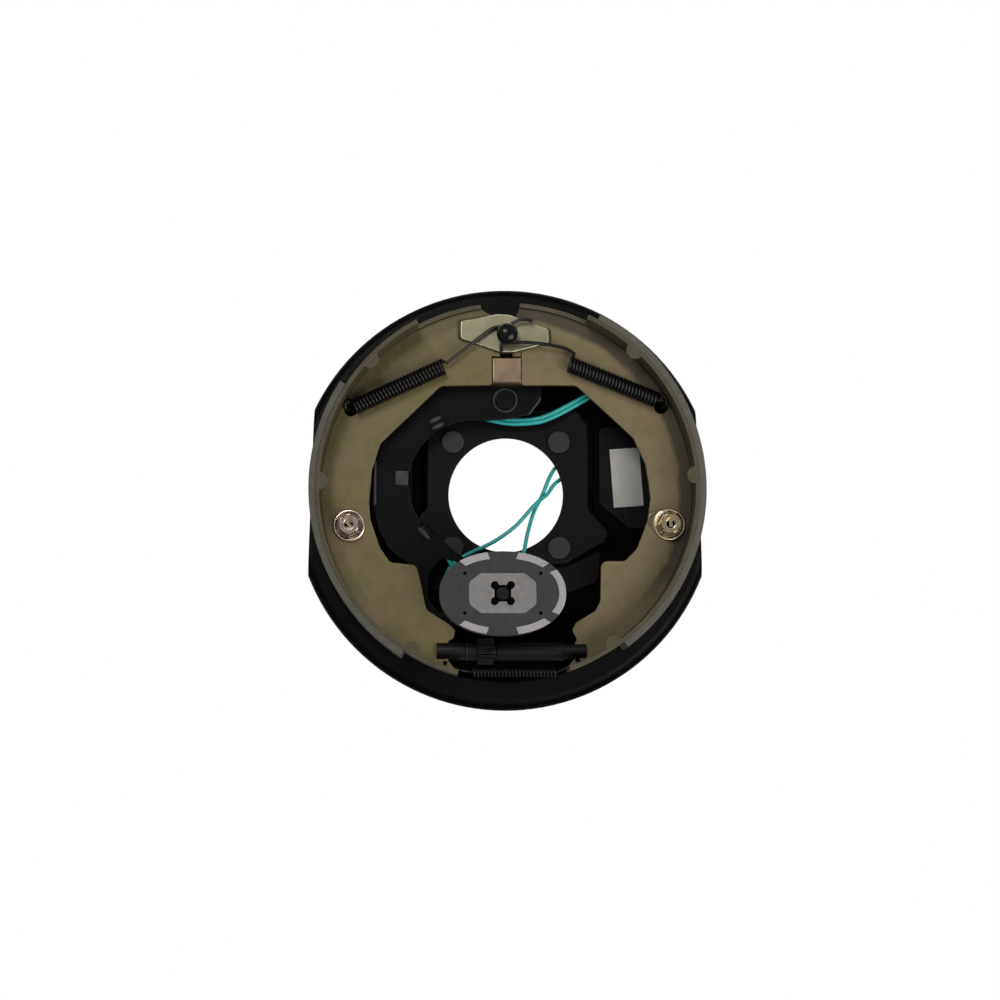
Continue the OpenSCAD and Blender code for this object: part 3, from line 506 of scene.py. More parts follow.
# Zinc plate with a rose passivate, on the primary cup: bright, with painted highlights on its
# edges and painted shade deep in it
ROSE_ZINC = Finish(
    "rose_zinc_plate", "c9b7ab", "a89286", 3, 0.22, 0.08, metallic=1.0,
    grain=0.25, relief=0.006, wear_and_highlight="ece0d9", wear_and_highlight_share=1.2, painted_recess_shade=(-30.7, -30.1, 0.4),
)
# Cold-headed steel under a thin grey paint: flat and even
STUD_STEEL = Finish(
    "grey_headed_steel", "2a2c2d", "2e3031", 8, 0.6, 0.05, specular=0.25,
    grain=0.5, relief=0.006, wear_and_highlight="46484a",
)
# Zinc plate with a yellow passivate: pale olive, satin, cloudy
YELLOW_ZINC = Finish(
    "yellow_zinc_plate", "888570", "7d7b68", 7, 0.42, 0.07, metallic=1.0,
    grain=0.35, relief=0.006, run=Grain.ALONG_X, wear_and_highlight="c8c4ac", wear_and_highlight_share=0.9,
)
# Zinc plate with a pink cast, on the forged cam block
PINK_ZINC = Finish(
    "pink_zinc_plate", "897865", "7a6c5d", 4, 0.4, 0.08, metallic=1.0,
    grain=0.3, relief=0.008, wear_and_highlight="d8c4ae", wear_and_highlight_share=0.9,
)
# Zinc plate with a gold passivate, on the secondary cup, the pins and their springs: bright,
# with painted highlights on the edges and painted shade in the deepest parts
GOLD_ZINC = Finish(
    "gold_zinc_plate", "d9c79a", "bfa67f", 3, 0.2, 0.08, metallic=1.0,
    grain=0.25, relief=0.006, wear_and_highlight="f2ead4", wear_and_highlight_share=0.9, painted_recess_shade=(-30.7, -30.1, 0.4),
)
# Thin primer on the pressed shoes: olive tan, matt, with soft clouds
# Its web is darkened along the table by a painted shadow of the table, with some grime
PRIMARY_PRIMER = Finish(
    "olive_shoe_primer", "6d643a", "605935", 9, 0.5, 0.07,
    grain=0.5, relief=0.012, wear_and_highlight="857b62", third="716046", table_shadow_and_grime=(113.6, 117.5, 0.7),
)
# The same primer on the other shoe, greyer
# Its painted shadow along the table is darker than on the primary shoe
SECONDARY_PRIMER = Finish(
    "tan_shoe_primer", "776d4b", "6a6144", 9, 0.5, 0.07,
    grain=0.5, relief=0.012, wear_and_highlight="8c846f", third="79674d", table_shadow_and_grime=(113.6, 116.8, 0.2),
)
# The same primer on the rolled tables, rubbed grey where the linings were ground; the front
# rim is lightened, partly as a painted highlight
TABLE_PRIMER = Finish(
    "rubbed_table_primer", "534d3c", "48432f", 12, 0.6, 0.08, specular=0.35,
    grain=0.5, relief=0.012, wear_and_highlight="5c594e", wear_and_highlight_share=1.4,
)
# Moulded friction lining, ground round the axle: grey, gritty, with pale chips
LINING = Finish(
    "ground_friction_lining", "62615b", "585751", 5, 0.8, 0.06, specular=0.25,
    grain=0.45, relief=0.03, run=Grain.ROUND_THE_AXLE, speck="72706a",
    speck_size=1.5, wear_and_highlight="6c6a63",
)
# Oil-blackened spring wire: black with small sharp glints
SPRING_WIRE = Finish(
    "blackened_spring_wire", "080809", "0c0c0d", 3, 0.34, 0.07, specular=0.36,
    grain=0.4, relief=0.005,
)
# Ground soft iron on the magnet's face: grey, finely scratched
MAGNET_IRON = Finish(
    "ground_soft_iron", "8a8989", "808081", 4, 0.42, 0.08, metallic=1.0,
    grain=0.3, relief=0.01, run=Grain.ALONG_X, wear_and_highlight="a6a5a7", wear_and_highlight_share=1.5,
)
# Moulded facing between the iron lands: mid grey, matt, even grit
FACING = Finish(
    "moulded_magnet_facing", "3a3c3e", "333537", 7, 0.7, 0.06, specular=0.35,
    grain=0.5, relief=0.015, wear_and_highlight="4c4e50", wear_and_highlight_share=0.4,
)
# Enamelled copper winding
WINDING = Finish(
    "enamelled_winding", "7a3f18", "6a3412", 2, 0.35, 0.06, metallic=1.0,
    grain=0.5, relief=0.08,
)
# Extruded PVC insulation: clean teal with a soft sheen
TEAL_PVC = Finish(
    "extruded_teal_insulation", "30b6b3", "29a8a4", 12, 0.42, 0.05, specular=0.45,
    grain=0.8, relief=0.004,
)
# Moulded black rubber: matt, slightly dusty
RUBBER = Finish(
    "moulded_black_rubber", "111111", "171717", 4, 0.75, 0.06, specular=0.3,
    grain=0.4, relief=0.01,
)
# White film label with a satin face, bare
LABEL_FILM = Finish(
    "bare_film_label", "bdbeba", "b3b4b0", 9, 0.6, 0.05, specular=0.2,
    grain=2.5, relief=0.02,
)


def smooth(points: list[Point], steps: int) -> list[Vector]:
    """Runs a smooth curve through a list of points.

    Args:
        points: The points, in millimetres.
        steps: Steps between two points.

    Returns:
        The points of the curve.
    """
    p = [Vector(q) for q in points]
    last = len(p) - 1
    curve = []
    for i in range(last):
        a, b, c, d = p[max(i - 1, 0)], p[i], p[i + 1], p[min(i + 2, last)]
        for j in range(steps + 1 if i == last - 1 else steps):
            t = j / steps
            curve.append(0.5 * (
                2 * b + (c - a) * t + (2 * a - 5 * b + 4 * c - d) * t * t
                + (3 * b - a - 3 * c + d) * t ** 3
            ))
    return curve


def coil(
    start: Point, end: Point, radii: tuple[float, float], turns: float, steps: int,
    phase: float = 0.0, side: Point = (0.0, 1.0, 0.0),
) -> list[Vector]:
    """Winds a helix between two points.

    Args:
        start: Middle of the first turn.
        end: Middle of the last turn.
        radii: Radius at the start and at the end.
        turns: Number of turns.
        steps: Points to a turn.
        phase: Angle of the first point, in degrees.
        side: The direction that an angle of 0 faces.

    Returns:
        The points of the helix.
    """
    a, b = Vector(start), Vector(end)
    axis = (b - a).normalized()
    u = Vector(side)
    u = (u - u.dot(axis) * axis).normalized()
    v = axis.cross(u)
    count = round(turns * steps)
    points = []
    for i in range(count + 1):
        s = i / count
        w = math.radians(phase + 360 * turns * s)
        r = radii[0] + (radii[1] - radii[0]) * s
        points.append(a + (b - a) * s + r * (math.cos(w) * u + math.sin(w) * v))
    return points


def arc(
    centre: tuple[float, float], radius: float, y: float, ends: tuple[float, float], count: int,
) -> list[Point]:
    """Draws an arc round an axis along Y.

    Args:
        centre: The axis in X and Z.
        radius: Radius of the arc.
        y: Its level along Y.
        ends: Its first and last angle, in degrees from X.
        count: Number of its steps.

    Returns:
        The points of the arc.
    """
    first, last = ends
    angles = [math.radians(first + (last - first) * i / count) for i in range(count + 1)]
    x, z = centre
    return [(x + radius * math.cos(a), y, z + radius * math.sin(a)) for a in angles]


def new_object(name: str, data: bpy.types.ID) -> bpy.types.Object:
    """Makes a linked object for a mesh, a curve, a camera or a lamp.

    Args:
        name: Name of the object.
        data: What it shows.

    Returns:
        The object.
    """
    made = bpy.data.objects.new(name, data)
    bpy.context.scene.collection.objects.link(made)
    return made


def turn_to(made: bpy.types.Object, place: Point, target: Point) -> None:
    """Puts a camera or a lamp in its place and turns it to a target.

    Args:
        made: The camera or the lamp.
        place: Where it stands, in metres.
        target: What it faces, in metres.
    """
    made.location = place
    made.rotation_mode = "QUATERNION"
    made.rotation_quaternion = (Vector(target) - Vector(place)).to_track_quat("-Z", "Y")


def mesh_of(name: str, grid: bmesh.types.BMesh, *finishes: Finish) -> bpy.types.Mesh:
    """Turns a grid that has been edited into a mesh.

    Args:
        name: Name of the mesh.
        grid: The grid, which is freed.
        finishes: The finish of each of its material numbers.

    Returns:
        The mesh.
    """
    mesh = bpy.data.meshes.new(name)
    grid.to_mesh(mesh)
    grid.free()
    for finish in finishes:
        mesh.materials.append(finish.material())
    return mesh


def finish_shading(mesh: bpy.types.Mesh, sharp_degrees: float = 38.0) -> None:
    """Shades a mesh smooth, with its sharp edges kept."""
    mesh.shade_smooth()
    mesh.set_sharp_from_angle(angle=math.radians(sharp_degrees))


def settle(
    piece: bpy.types.Object, body: Body | None = None, node: str = "",
) -> None:
    """Tells the frame where a piece belongs, and logs it.

    Args:
        piece: The piece.
        body: The body that it rides on, or none.
        node: The solid that it stands for, or none.
    """
    if body:
        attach(piece, body.value)
    if node:
        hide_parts(node)
    log.info("%s: %d faces", piece.name, len(piece.data.polygons))


class Sweep:
    """A Geometry Nodes tree that sweeps a round section along a curve."""

    def __init__(self) -> None:
        """Builds the tree, with inputs for the radius, the sides and the material."""
        tree = bpy.data.node_groups.new("wire_sweep", "GeometryNodeTree")
        sockets = [
            tree.interface.new_socket(name, in_out=way, socket_type="NodeSocket" + kind)
            for name, way, kind in (
                ("Path", "INPUT", "Geometry"), ("Geometry", "OUTPUT", "Geometry"),
                ("Radius", "INPUT", "Float"), ("Sides", "INPUT", "Int"),
                ("Material", "INPUT", "Material"),
            )
        ]
        self.tree = tree
        self.radius, self.sides, self.material = sockets[2:]
        given = add_node(tree, "NodeGroupInput").outputs
        section = add_node(
            tree, "GeometryNodeCurvePrimitiveCircle",
            inputs={"Resolution": given["Sides"], "Radius": given["Radius"]},
        ).outputs["Curve"]
        made = add_node(
            tree, "GeometryNodeCurveToMesh",
            inputs={"Curve": given["Path"], "Profile Curve": section, "Fill Caps": True},
        ).outputs["Mesh"]
        for kind, more in (
            ("GeometryNodeSetShadeSmooth", {}), ("GeometryNodeRealizeInstances", {}),
            ("GeometryNodeSetMaterial", {"Material": given["Material"]}),
        ):
            made = add_node(tree, kind, inputs={"Geometry": made, **more}).outputs["Geometry"]
        add_node(tree, "NodeGroupOutput", inputs={"Geometry": made})

    def run(
        self, name: str, path: list[Vector], radius: float, finish: Finish, sides: int = 12,
    ) -> bpy.types.Object:
        """Sweeps a wire or a lead along a path.

        Args:
            name: Name of the new piece.
            path: Points in millimetres.
            radius: Radius of the wire.
            finish: Its finish.
            sides: Sides of the section.

        Returns:
            The piece, as a plain mesh.
        """
        curve = bpy.data.curves.new(name + "_path", "CURVE")
        curve.dimensions = "3D"
        curve.twist_mode = "MINIMUM"
        spline = curve.splines.new("POLY")
        spline.points.add(len(path) - 1)
        for at, point in zip(spline.points, path):
            at.co = (*(point * MM), 1.0)
        holder = new_object(curve.name, curve)
        modifier = holder.modifiers.new("nodes", "NODES")
        modifier.node_group = self.tree
        for socket, value in (
            (self.radius, radius * MM), (self.sides, sides), (self.material, finish.material()),
        ):
            modifier[socket.identifier] = value
        graph = bpy.context.evaluated_depsgraph_get()
        mesh = bpy.data.meshes.new_from_object(holder.evaluated_get(graph))
        holder.modifiers.remove(modifier)
        bpy.data.objects.remove(holder)
        mesh.name = name
        return new_object(name, mesh)


def rounded_box(
    grid: bmesh.types.BMesh, place: Matrix, size: Point, edge: float,
) -> None:
    """Adds a box with rounded edges to a mesh.

    Args:
        grid: The mesh.
        place: The box's middle and turn.
        size: Its length along each axis, in millimetres.
        edge: How far its edges are rounded.
    """
    sides = Matrix.Diagonal((size[0] * MM, size[1] * MM, size[2] * MM, 1.0))
    made = bmesh.ops.create_cube(grid, size=1.0, matrix=place @ sides)
    edges = list({e for v in made["verts"] for e in v.link_edges})
    bmesh.ops.bevel(grid, geom=edges, offset=edge * MM, segments=2, profile=0.5, affect="EDGES")


def within(point: Vector, circles: tuple[Circle, ...]) -> bool:
    """Tells whether a point lies in one of some circles, seen along Y."""
    return any(math.hypot(point.x - x * MM, point.z - z * MM) < r * MM for x, z, r in circles)


@dataclass(frozen=True)
class Dress:
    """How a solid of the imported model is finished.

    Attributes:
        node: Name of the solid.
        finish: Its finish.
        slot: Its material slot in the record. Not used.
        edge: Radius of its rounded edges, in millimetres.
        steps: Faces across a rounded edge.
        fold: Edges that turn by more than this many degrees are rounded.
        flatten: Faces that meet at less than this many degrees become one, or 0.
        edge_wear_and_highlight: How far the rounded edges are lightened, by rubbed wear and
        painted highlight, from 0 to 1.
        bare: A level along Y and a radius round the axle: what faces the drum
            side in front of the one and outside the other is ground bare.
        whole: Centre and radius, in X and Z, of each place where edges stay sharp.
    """

    node: str
    finish: Finish
    slot: str
    edge: float = 0.3
    steps: int = 2
    fold: float = 32.0
    flatten: float = 0.6
    edge_wear_and_highlight: float = 1.0
    bare: tuple[float, float] | None = None
    whole: tuple[Circle, ...] = ()

    def _rounds(self, edge: bmesh.types.BMEdge) -> bool:
        """Tells whether an edge is sharp, and lies where sharp edges are rounded.

        Args:
            edge: The edge.

        Returns:
            True where it is rounded.
        """
        if not edge.is_manifold or edge.calc_face_angle(0.0) <= math.radians(self.fold):
            return False
        ends = [v.co for v in edge.verts]
        middle = (ends[0] + ends[1]) / 2
        return not any(within(p, self.whole) for p in (*ends, middle))

    def _rubbed(self, face: bmesh.types.BMFace) -> float:
        """Tells where the solid is ground bare.

        Args:
            face: A face of it.

        Returns:
            1 where the face is ground bare, and 0 elsewhere.
        """
        middle = face.calc_center_median()
        level, radius = self.bare
        outside = math.hypot(middle.x, middle.z) > radius * MM
        return float(face.normal.y < TO_THE_DRUM and middle.y < level * MM and outside)

    def build(self, body: Body) -> None:
        """Copies the solid, rounds its edges, and puts the copy in its place.

        Args:
            body: The body that it rides on.
        """
        grid = bmesh.new()
        grid.from_mesh(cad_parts[self.node].data)
        bmesh.ops.remove_doubles(grid, verts=grid.verts, dist=WELD * MM)
        bmesh.ops.dissolve_degenerate(grid, edges=grid.edges, dist=WELD * MM)
        if self.flatten:
            bmesh.ops.dissolve_limit(
                grid, verts=grid.verts, edges=grid.edges,
                angle_limit=math.radians(self.flatten),
            )
        wear_and_highlight = grid.faces.layers.float.new(WEAR_AND_HIGHLIGHT)
        if self.edge > 0:
            edges = [e for e in grid.edges if self._rounds(e)]
            made = bmesh.ops.bevel(
                grid, geom=edges, offset=self.edge * MM, segments=self.steps, profile=0.5,
                affect="EDGES", clamp_overlap=False, loop_slide=True,
            )
            # Rounded edges are marked to be lightened, partly as rubbed wear and partly as
            # painted highlight
            for f in made["faces"]:
                f[wear_and_highlight] = self.edge_wear_and_highlight
        if self.bare is not None:
            for f in grid.faces:
                f[wear_and_highlight] = max(f[wear_and_highlight], self._rubbed(f))
        mesh = mesh_of(self.node + "_dressed", grid, self.finish)
        for polygon in mesh.polygons:
            polygon.material_index = 0
        finish_shading(mesh)
        piece = new_object(mesh.name, mesh)
        piece.modifiers.new("weighted", "WEIGHTED_NORMAL").keep_sharp = True
        settle(piece, body, self.node)


@dataclass
class Leads:
    """The magnet's two leads: the pair held by the lever arm, and the loose tails.

    Attributes:
        radius: Radius of the insulation.
        sides: Sides of its section.
        pair_half: Half the distance between the two middle lines.
        lean: How far the pair leans to lie along X where it runs along Y.
        steps: Steps between two points of a loose lead.
        loose_long: Points of the longer loose lead, from the grommet.
        loose_short: Points of the shorter one.
        held: Points midway between the held leads, from the magnet to the grommet.
    """

    radius: float = 1.3
    sides: int = 14
    pair_half: float = 1.32
    lean: float = 0.6
    steps: int = 6
    loose_long: list[Point] = field(default_factory=lambda: [
        (65.2, 11.2, 70), (65.2, 12.4, 70), (65.2, 14.4, 69.9), (65.2, 17, 68.7),
        (65.2, 18.7, 66.4), (65.1, 19.2, 63.4), (63.4, 18.8, 54.6), (59.8, 16.4, 43.4),
        (55.4, 13, 32.6), (50, 9.4, 24.4), (44.6, 6.8, 18), (39.8, 4.9, 13.8),
        (35.6, 3.9, 10.8), (31.5, 1, 7), (27.2, -3, 0.7), (21.6, -5.6, -4.1),
        (16.9, -7, -8.9), (11.3, -8, -15.4), (4.9, -8.8, -22), (-5.2, -9, -29.4),
        (-14.4, -9, -34.4), (-21.4, -9, -37.6), (-29, -9, -41.6), (-35.6, -9, -47),
        (-39.4, -9, -54),
    ])
    loose_short: list[Point] = field(default_factory=lambda: [
        (62.4, 11.2, 70), (62.4, 12.4, 70), (62.3, 14.4, 69.9), (61.9, 17, 68.7),
        (61.2, 18.7, 66.4), (60.3, 19.2, 63.4), (57, 18.6, 55.2), (53.6, 16.2, 46),
        (50, 12.8, 36.4), (45.6, 9.6, 28.8), (40.6, 6.8, 23.4), (36.4, 4.9, 20.6),
        (32.6, 3.9, 18.4), (30.2, 1.2, 14.6), (28, -1.6, 10.2), (25.4, -2, 3.6),
        (22.6, -1.6, -2.8), (19.6, -1.8, -8.3), (17.1, -3.4, -14.8), (15.2, -5.6, -21.4),
        (13.5, -7.8, -28.2), (12.4, -9, -34), (11.2, -9, -39.6), (8.8, -9, -46.4),
        (3.6, -9, -53.6),
    ])
    held: list[Point] = field(default_factory=lambda: [
        (-28, -39, -57), (-28, -37, -57), (-28.2, -34.6, -56.9), (-30.4, -31, -54.6),
        (-32, -26, -51), (-33, -21, -49), (-34.6, -16.6, -46), (-37.6, -12.8, -41),
        (-42.8, -12.4, -37), (-49.2, -12.4, -33.2), (-55.2, -12.5, -26.8), (-63, -12.5, -13.6),
        (-67.4, -12.5, -2.6), (-67.9, -12.5, 9.5), (-65.5, -12.5, 22), (-60, -12.5, 32.5),
        (-53.5, -12.5, 40.3), (-45.6, -12.5, 45.8), (-37, -12.5, 49.8), (-28, -12.5, 51.4),
        (-20, -12.4, 52), (-12.5, -12, 50.2), (-1, -11, 47.8), (10, -10.5, 47.4),
        (23, -10, 49), (35, -9, 54.2), (46, -8, 60.4), (54, -7, 65.2), (59.4, -5.4, 68.2),
        (62.8, -2.4, 69.8), (64, 1, 70), (64, 3, 70), (64, 6, 70), (64, 11, 70),
    ])

    def build(self, sweep: Sweep) -> None:
        """Makes both loose leads and both held ones.

        Args:
            sweep: The tree that sweeps them.
        """
        for node, route in (
            ("loose_lead_long", self.loose_long), ("loose_lead_short", self.loose_short),
        ):
            self._loose(node, smooth(route, self.steps), sweep)
        for node, side in (("magnet_lead_inner", 1), ("magnet_lead_outer", -1)):
            path = self._beside(side)
            piece = sweep.run(node + "_pvc", path, self.radius, TEAL_PVC, self.sides)
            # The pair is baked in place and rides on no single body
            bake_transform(piece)
            settle(piece, node=node)

    def _loose(self, node: str, path: list[Vector], sweep: Sweep) -> None:
        """Args:
            node: The solid that it stands for.
            path: Its middle line.
            sweep: The tree that sweeps it.
        """
        piece = sweep.run(node + "_pvc", path, self.radius, TEAL_PVC, self.sides)
        settle(piece, Body.BACKING, node)

    def _beside(self, side: int) -> list[Vector]:
        """Offsets the middle line of the held pair to one of its leads.

        Args:
            side: 1 or -1.

        Returns:
            The lead's own middle line.
        """
        path = smooth(self.held, steps=2)
        last = len(path) - 1
        line = []
        for i, point in enumerate(path):
            t = (path[min(i + 1, last)] - path[max(i - 1, 0)]).normalized()
            across = Vector((t.z + self.lean * abs(t.y), 0.0, -t.x)).normalized()
            line.append(point + side * self.pair_half * across)
        return smooth([tuple(p) for p in line], steps=3)


@dataclass
class BackingPlate:
    """The stamped plate and what is fixed to it.

    Attributes:
        parts: How each solid of it is finished.
    """

    parts: tuple[Dress, ...] = (
        Dress("backing_plate", BLACK_PAINT, "black_paint", 0.7, edge_wear_and_highlight=0.35),
        Dress("mounting_studs", STUD_STEEL, "stud_steel", 0.3),
        Dress("anchor_post", HEAD_STEEL, "dark_steel", 0.3, edge_wear_and_highlight=0.3),
        Dress("anchor_plate", YELLOW_ZINC, "zinc_plate", 0.35),
        Dress("label_sticker", LABEL_FILM, "label_paper", 0.0),
        Dress("wire_grommet", RUBBER, "black_rubber", 0.3),
        Dress("adjuster_plug", RUBBER, "black_rubber", 0.4),
    )

    def build(self) -> None:
        """Dresses the plate, the studs, the post, the label and the rubber parts."""
        for part in self.parts:
            part.build(Body.BACKING)


@dataclass
class HoldDowns:
    """The two pins with their springs and cups.

    Attributes:
        centres: Shoe, middle in X and Z, and plate of each cup.
        spring_r: Radius of the springs' windings.
        spring_y: Levels of the springs' ends.
        turns: Turns of each spring.
        wire_r: Radius of their wire.
    """

    centres: tuple[tuple[str, float, float, Finish], ...] = (
        ("primary", -101.5, -22.5, ROSE_ZINC), ("secondary", 105.0, -21.5, GOLD_ZINC),
    )
    spring_r: float = 4.0
    spring_y: tuple[float, float] = (-29.4, -36.4)
    turns: float = 3.5
    wire_r: float = 0.55

    def build(self, sweep: Sweep) -> None:
        """Dresses both pins and cups, and winds both springs.

        Args:
            sweep: The tree that sweeps the springs.
        """
        slot = "cup_plate"
        first, last = self.spring_y
        for shoe, x, z, plate in self.centres:
            Dress(shoe + "_hold_down_pin", GOLD_ZINC, slot, 0.15).build(Body.BACKING)
            Dress(shoe + "_hold_down_cup", plate, slot, 0.32).build(Body.BACKING)
            node = shoe + "_hold_down_spring"
            path = coil(
                (x, first, z), (x, last, z), (self.spring_r, self.spring_r), self.turns,
                steps=24, side=(1, 0, 0),
            )
            piece = sweep.run(node + "_wound", path, self.wire_r, GOLD_ZINC, sides=8)
            settle(piece, Body.BACKING, node)


@dataclass
class Shoes:
    """The two lined shoes.

    Attributes:
        shoes: Name and body of each shoe, the finish of its web, and the middle
            along X of the tongue that narrows the gap over the cam block.
        ground: The level along Y and the radius past which a table is ground bare.
        tongue_level: Middle of the tongues along Y.
        tongue_up: Their middle along Z.
        tongue_size: Their length along each axis.
        tongue_edge: How far their edges are rounded.
    """

    shoes: tuple[tuple[str, Body, Finish, float], ...] = (
        ("primary", Body.PRIMARY, PRIMARY_PRIMER, -7.1),
        ("secondary", Body.SECONDARY, SECONDARY_PRIMER, 6.4),
    )
    ground: tuple[float, float] = (-54.0, 120.6)
    tongue_level: float = -26.2
    tongue_up: float = 90.7
    tongue_size: Point = (5.4, 4.2, 5.4)
    tongue_edge: float = 0.4

    def build(self) -> None:
        """Dresses the webs, tables and linings, and makes the webs' tongues."""
        for name, body, primer, across in self.shoes:
            web = Dress(name + "_web", primer, "shoe_paint", 0.5)
            web.build(body)
            Dress(name + "_table", TABLE_PRIMER, "shoe_paint", bare=self.ground).build(body)
            Dress(name + "_lining", LINING, "lining", 0.4).build(body)
            self._tongue(web, across, body)

    def _tongue(self, web: Dress, across: float, body: Body) -> None:
        """Makes the tongue of a web.

        Args:
            web: The web that it belongs to.
            across: Its middle along X.
            body: The shoe that it rides on.
        """
        grid = bmesh.new()
        place = Matrix.Translation((across * MM, self.tongue_level * MM, self.tongue_up * MM))
        rounded_box(grid, place, self.tongue_size, self.tongue_edge)
        mesh = mesh_of(web.node + "_tongue", grid, web.finish)
        finish_shading(mesh, BOX_CREASE)
        settle(new_object(mesh.name, mesh), body)


# Where the windows of the wire tabs come close to the arm's edge
TAB_WINDOWS: tuple[Circle, ...] = ((-45.6, 45.8, 5.6), (-67.9, 9.5, 5.6), (-53.2, -25.7, 5.8))


@dataclass(frozen=True)
class Strap:
    """A strap pressed out of the lever arm over the held leads.

    Attributes:
        place: Its centre in X and Z.
        turn: Direction of the leads there, in degrees from X.
        size: Length along the leads, and width across them.
        finish: Finish of the flat.
        ridges: Distance of each ridge from the middle.
        ridge: Half the length and half the width of a ridge.
    """

    place: tuple[float, float]
    turn: float
    size: tuple[float, float]
    finish: Finish
    ridges: tuple[float, ...] = ()
    ridge: tuple[float, float] = (4.6, 1.6)


@dataclass
class StrapsAndHighlights:
    """The grey on the lever arm, rubbed paint and painted highlight: straps and three raised
    edges.

    Attributes:
        straps: The three straps over the held leads.
        level: Front face of the lever arm.
        lift: How far the flat of a strap stands in front of it.
        strap_edge: How far the edges of a flat are rounded.
        ridge_lift: How far a ridge stands in front of the arm.
        ring: Centre in X and Z, and radius, of the pressed ring.
        ring_level: Middle of the ring's raised edge along Y.
        ring_wire: Radius of that edge.
        edges: Points and radius of the slanted corner and of the outer flange.
    """

    straps: tuple[Strap, ...] = (
        Strap((-45.4, 45.8), 26, (8.6, 9.0), ARM_PAINT, (2.3, -2.3)),
        Strap((-67.9, 9.6), 88, (9.4, 8.4), STRAP_PAINT_AND_HIGHLIGHT),
        Strap((-53.0, -26.0), 134, (8.6, 8.0), ARM_PAINT, (0.6,), (5.4, 1.9)),
    )
    level: float = -18.0
    lift: float = 0.5
    strap_edge: float = 0.35
    ridge_lift: float = 1.5
    ring: Circle = (-0.8, 60.6, 7.5)
    ring_level: float = -18.6
    ring_wire: float = 0.6
    edges: tuple[tuple[tuple[Point, ...], float], ...] = (
        (((22.2, -17.9, 62.2), (21.0, -17.9, 59.9), (14.6, -17.9, 51.4)), 0.75),
        (((-85.1, -21.9, -8.2), (-85.1, -21.9, 20.2)), 0.95),
    )

    def build(self, sweep: Sweep) -> None:
        """Makes the straps and the painted highlights along the raised edges.

        Args:
            sweep: The tree that sweeps the edges.
        """
        for number, strap in enumerate(self.straps, 1):
            self._strap(f"lead_strap_{number}", strap)
        x, z, radius = self.ring
        ring = arc((x, z), radius, self.ring_level, (0, 360), count=48)
        marks = [("pressed_ring_highlight", ring, self.ring_wire, 10)]
        marks += [
            (f"rubbed_edge_{number}", points, wire, 12)
            for number, (points, wire) in enumerate(self.edges, 1)
        ]
        # The ring and the edges are thin grey wires: painted highlights on the raised edges
        for name, points, wire, sides in marks:
            path = [Vector(p) for p in points]
            piece = sweep.run(name, path, wire, STRAP_PAINT_AND_HIGHLIGHT, sides)
            settle(piece, Body.LEVER)

    def _strap(self, name: str, strap: Strap) -> None:
        """Makes a strap: a flat with rounded edges, and its ridges.

        Args:
            name: Name of the piece.
            strap: Its place and form.
        """
        grid = bmesh.new()
        x, z = strap.place
        place = (
            Matrix.Translation((x * MM, self.level * MM, z * MM))
            @ Matrix.Rotation(math.radians(-strap.turn), 4, "Y")
        )
        length, width = strap.size
        rounded_box(grid, place, (length, 2 * self.lift, width), self.strap_edge)
        flat = set(grid.faces)
        long_half, wide_half = strap.ridge
        for across in strap.ridges:
            shape = (
                Matrix.Translation((0.0, 0.0, across * MM))
                @ Matrix.Diagonal((long_half * MM, self.ridge_lift * MM, wide_half * MM, 1.0))
                @ Matrix.Rotation(math.pi / 2, 4, "Y")
            )
            bmesh.ops.create_uvsphere(
                grid, u_segments=24, v_segments=16, radius=1.0, matrix=place @ shape,
            )
        for face in grid.faces:
            face.material_index = int(face not in flat)
        finishes = (strap.finish, STRAP_PAINT_AND_HIGHLIGHT) if strap.ridges else (strap.finish,)
        mesh = mesh_of(name, grid, *finishes)
        finish_shading(mesh, BOX_CREASE)
        settle(new_object(name, mesh), Body.LEVER)


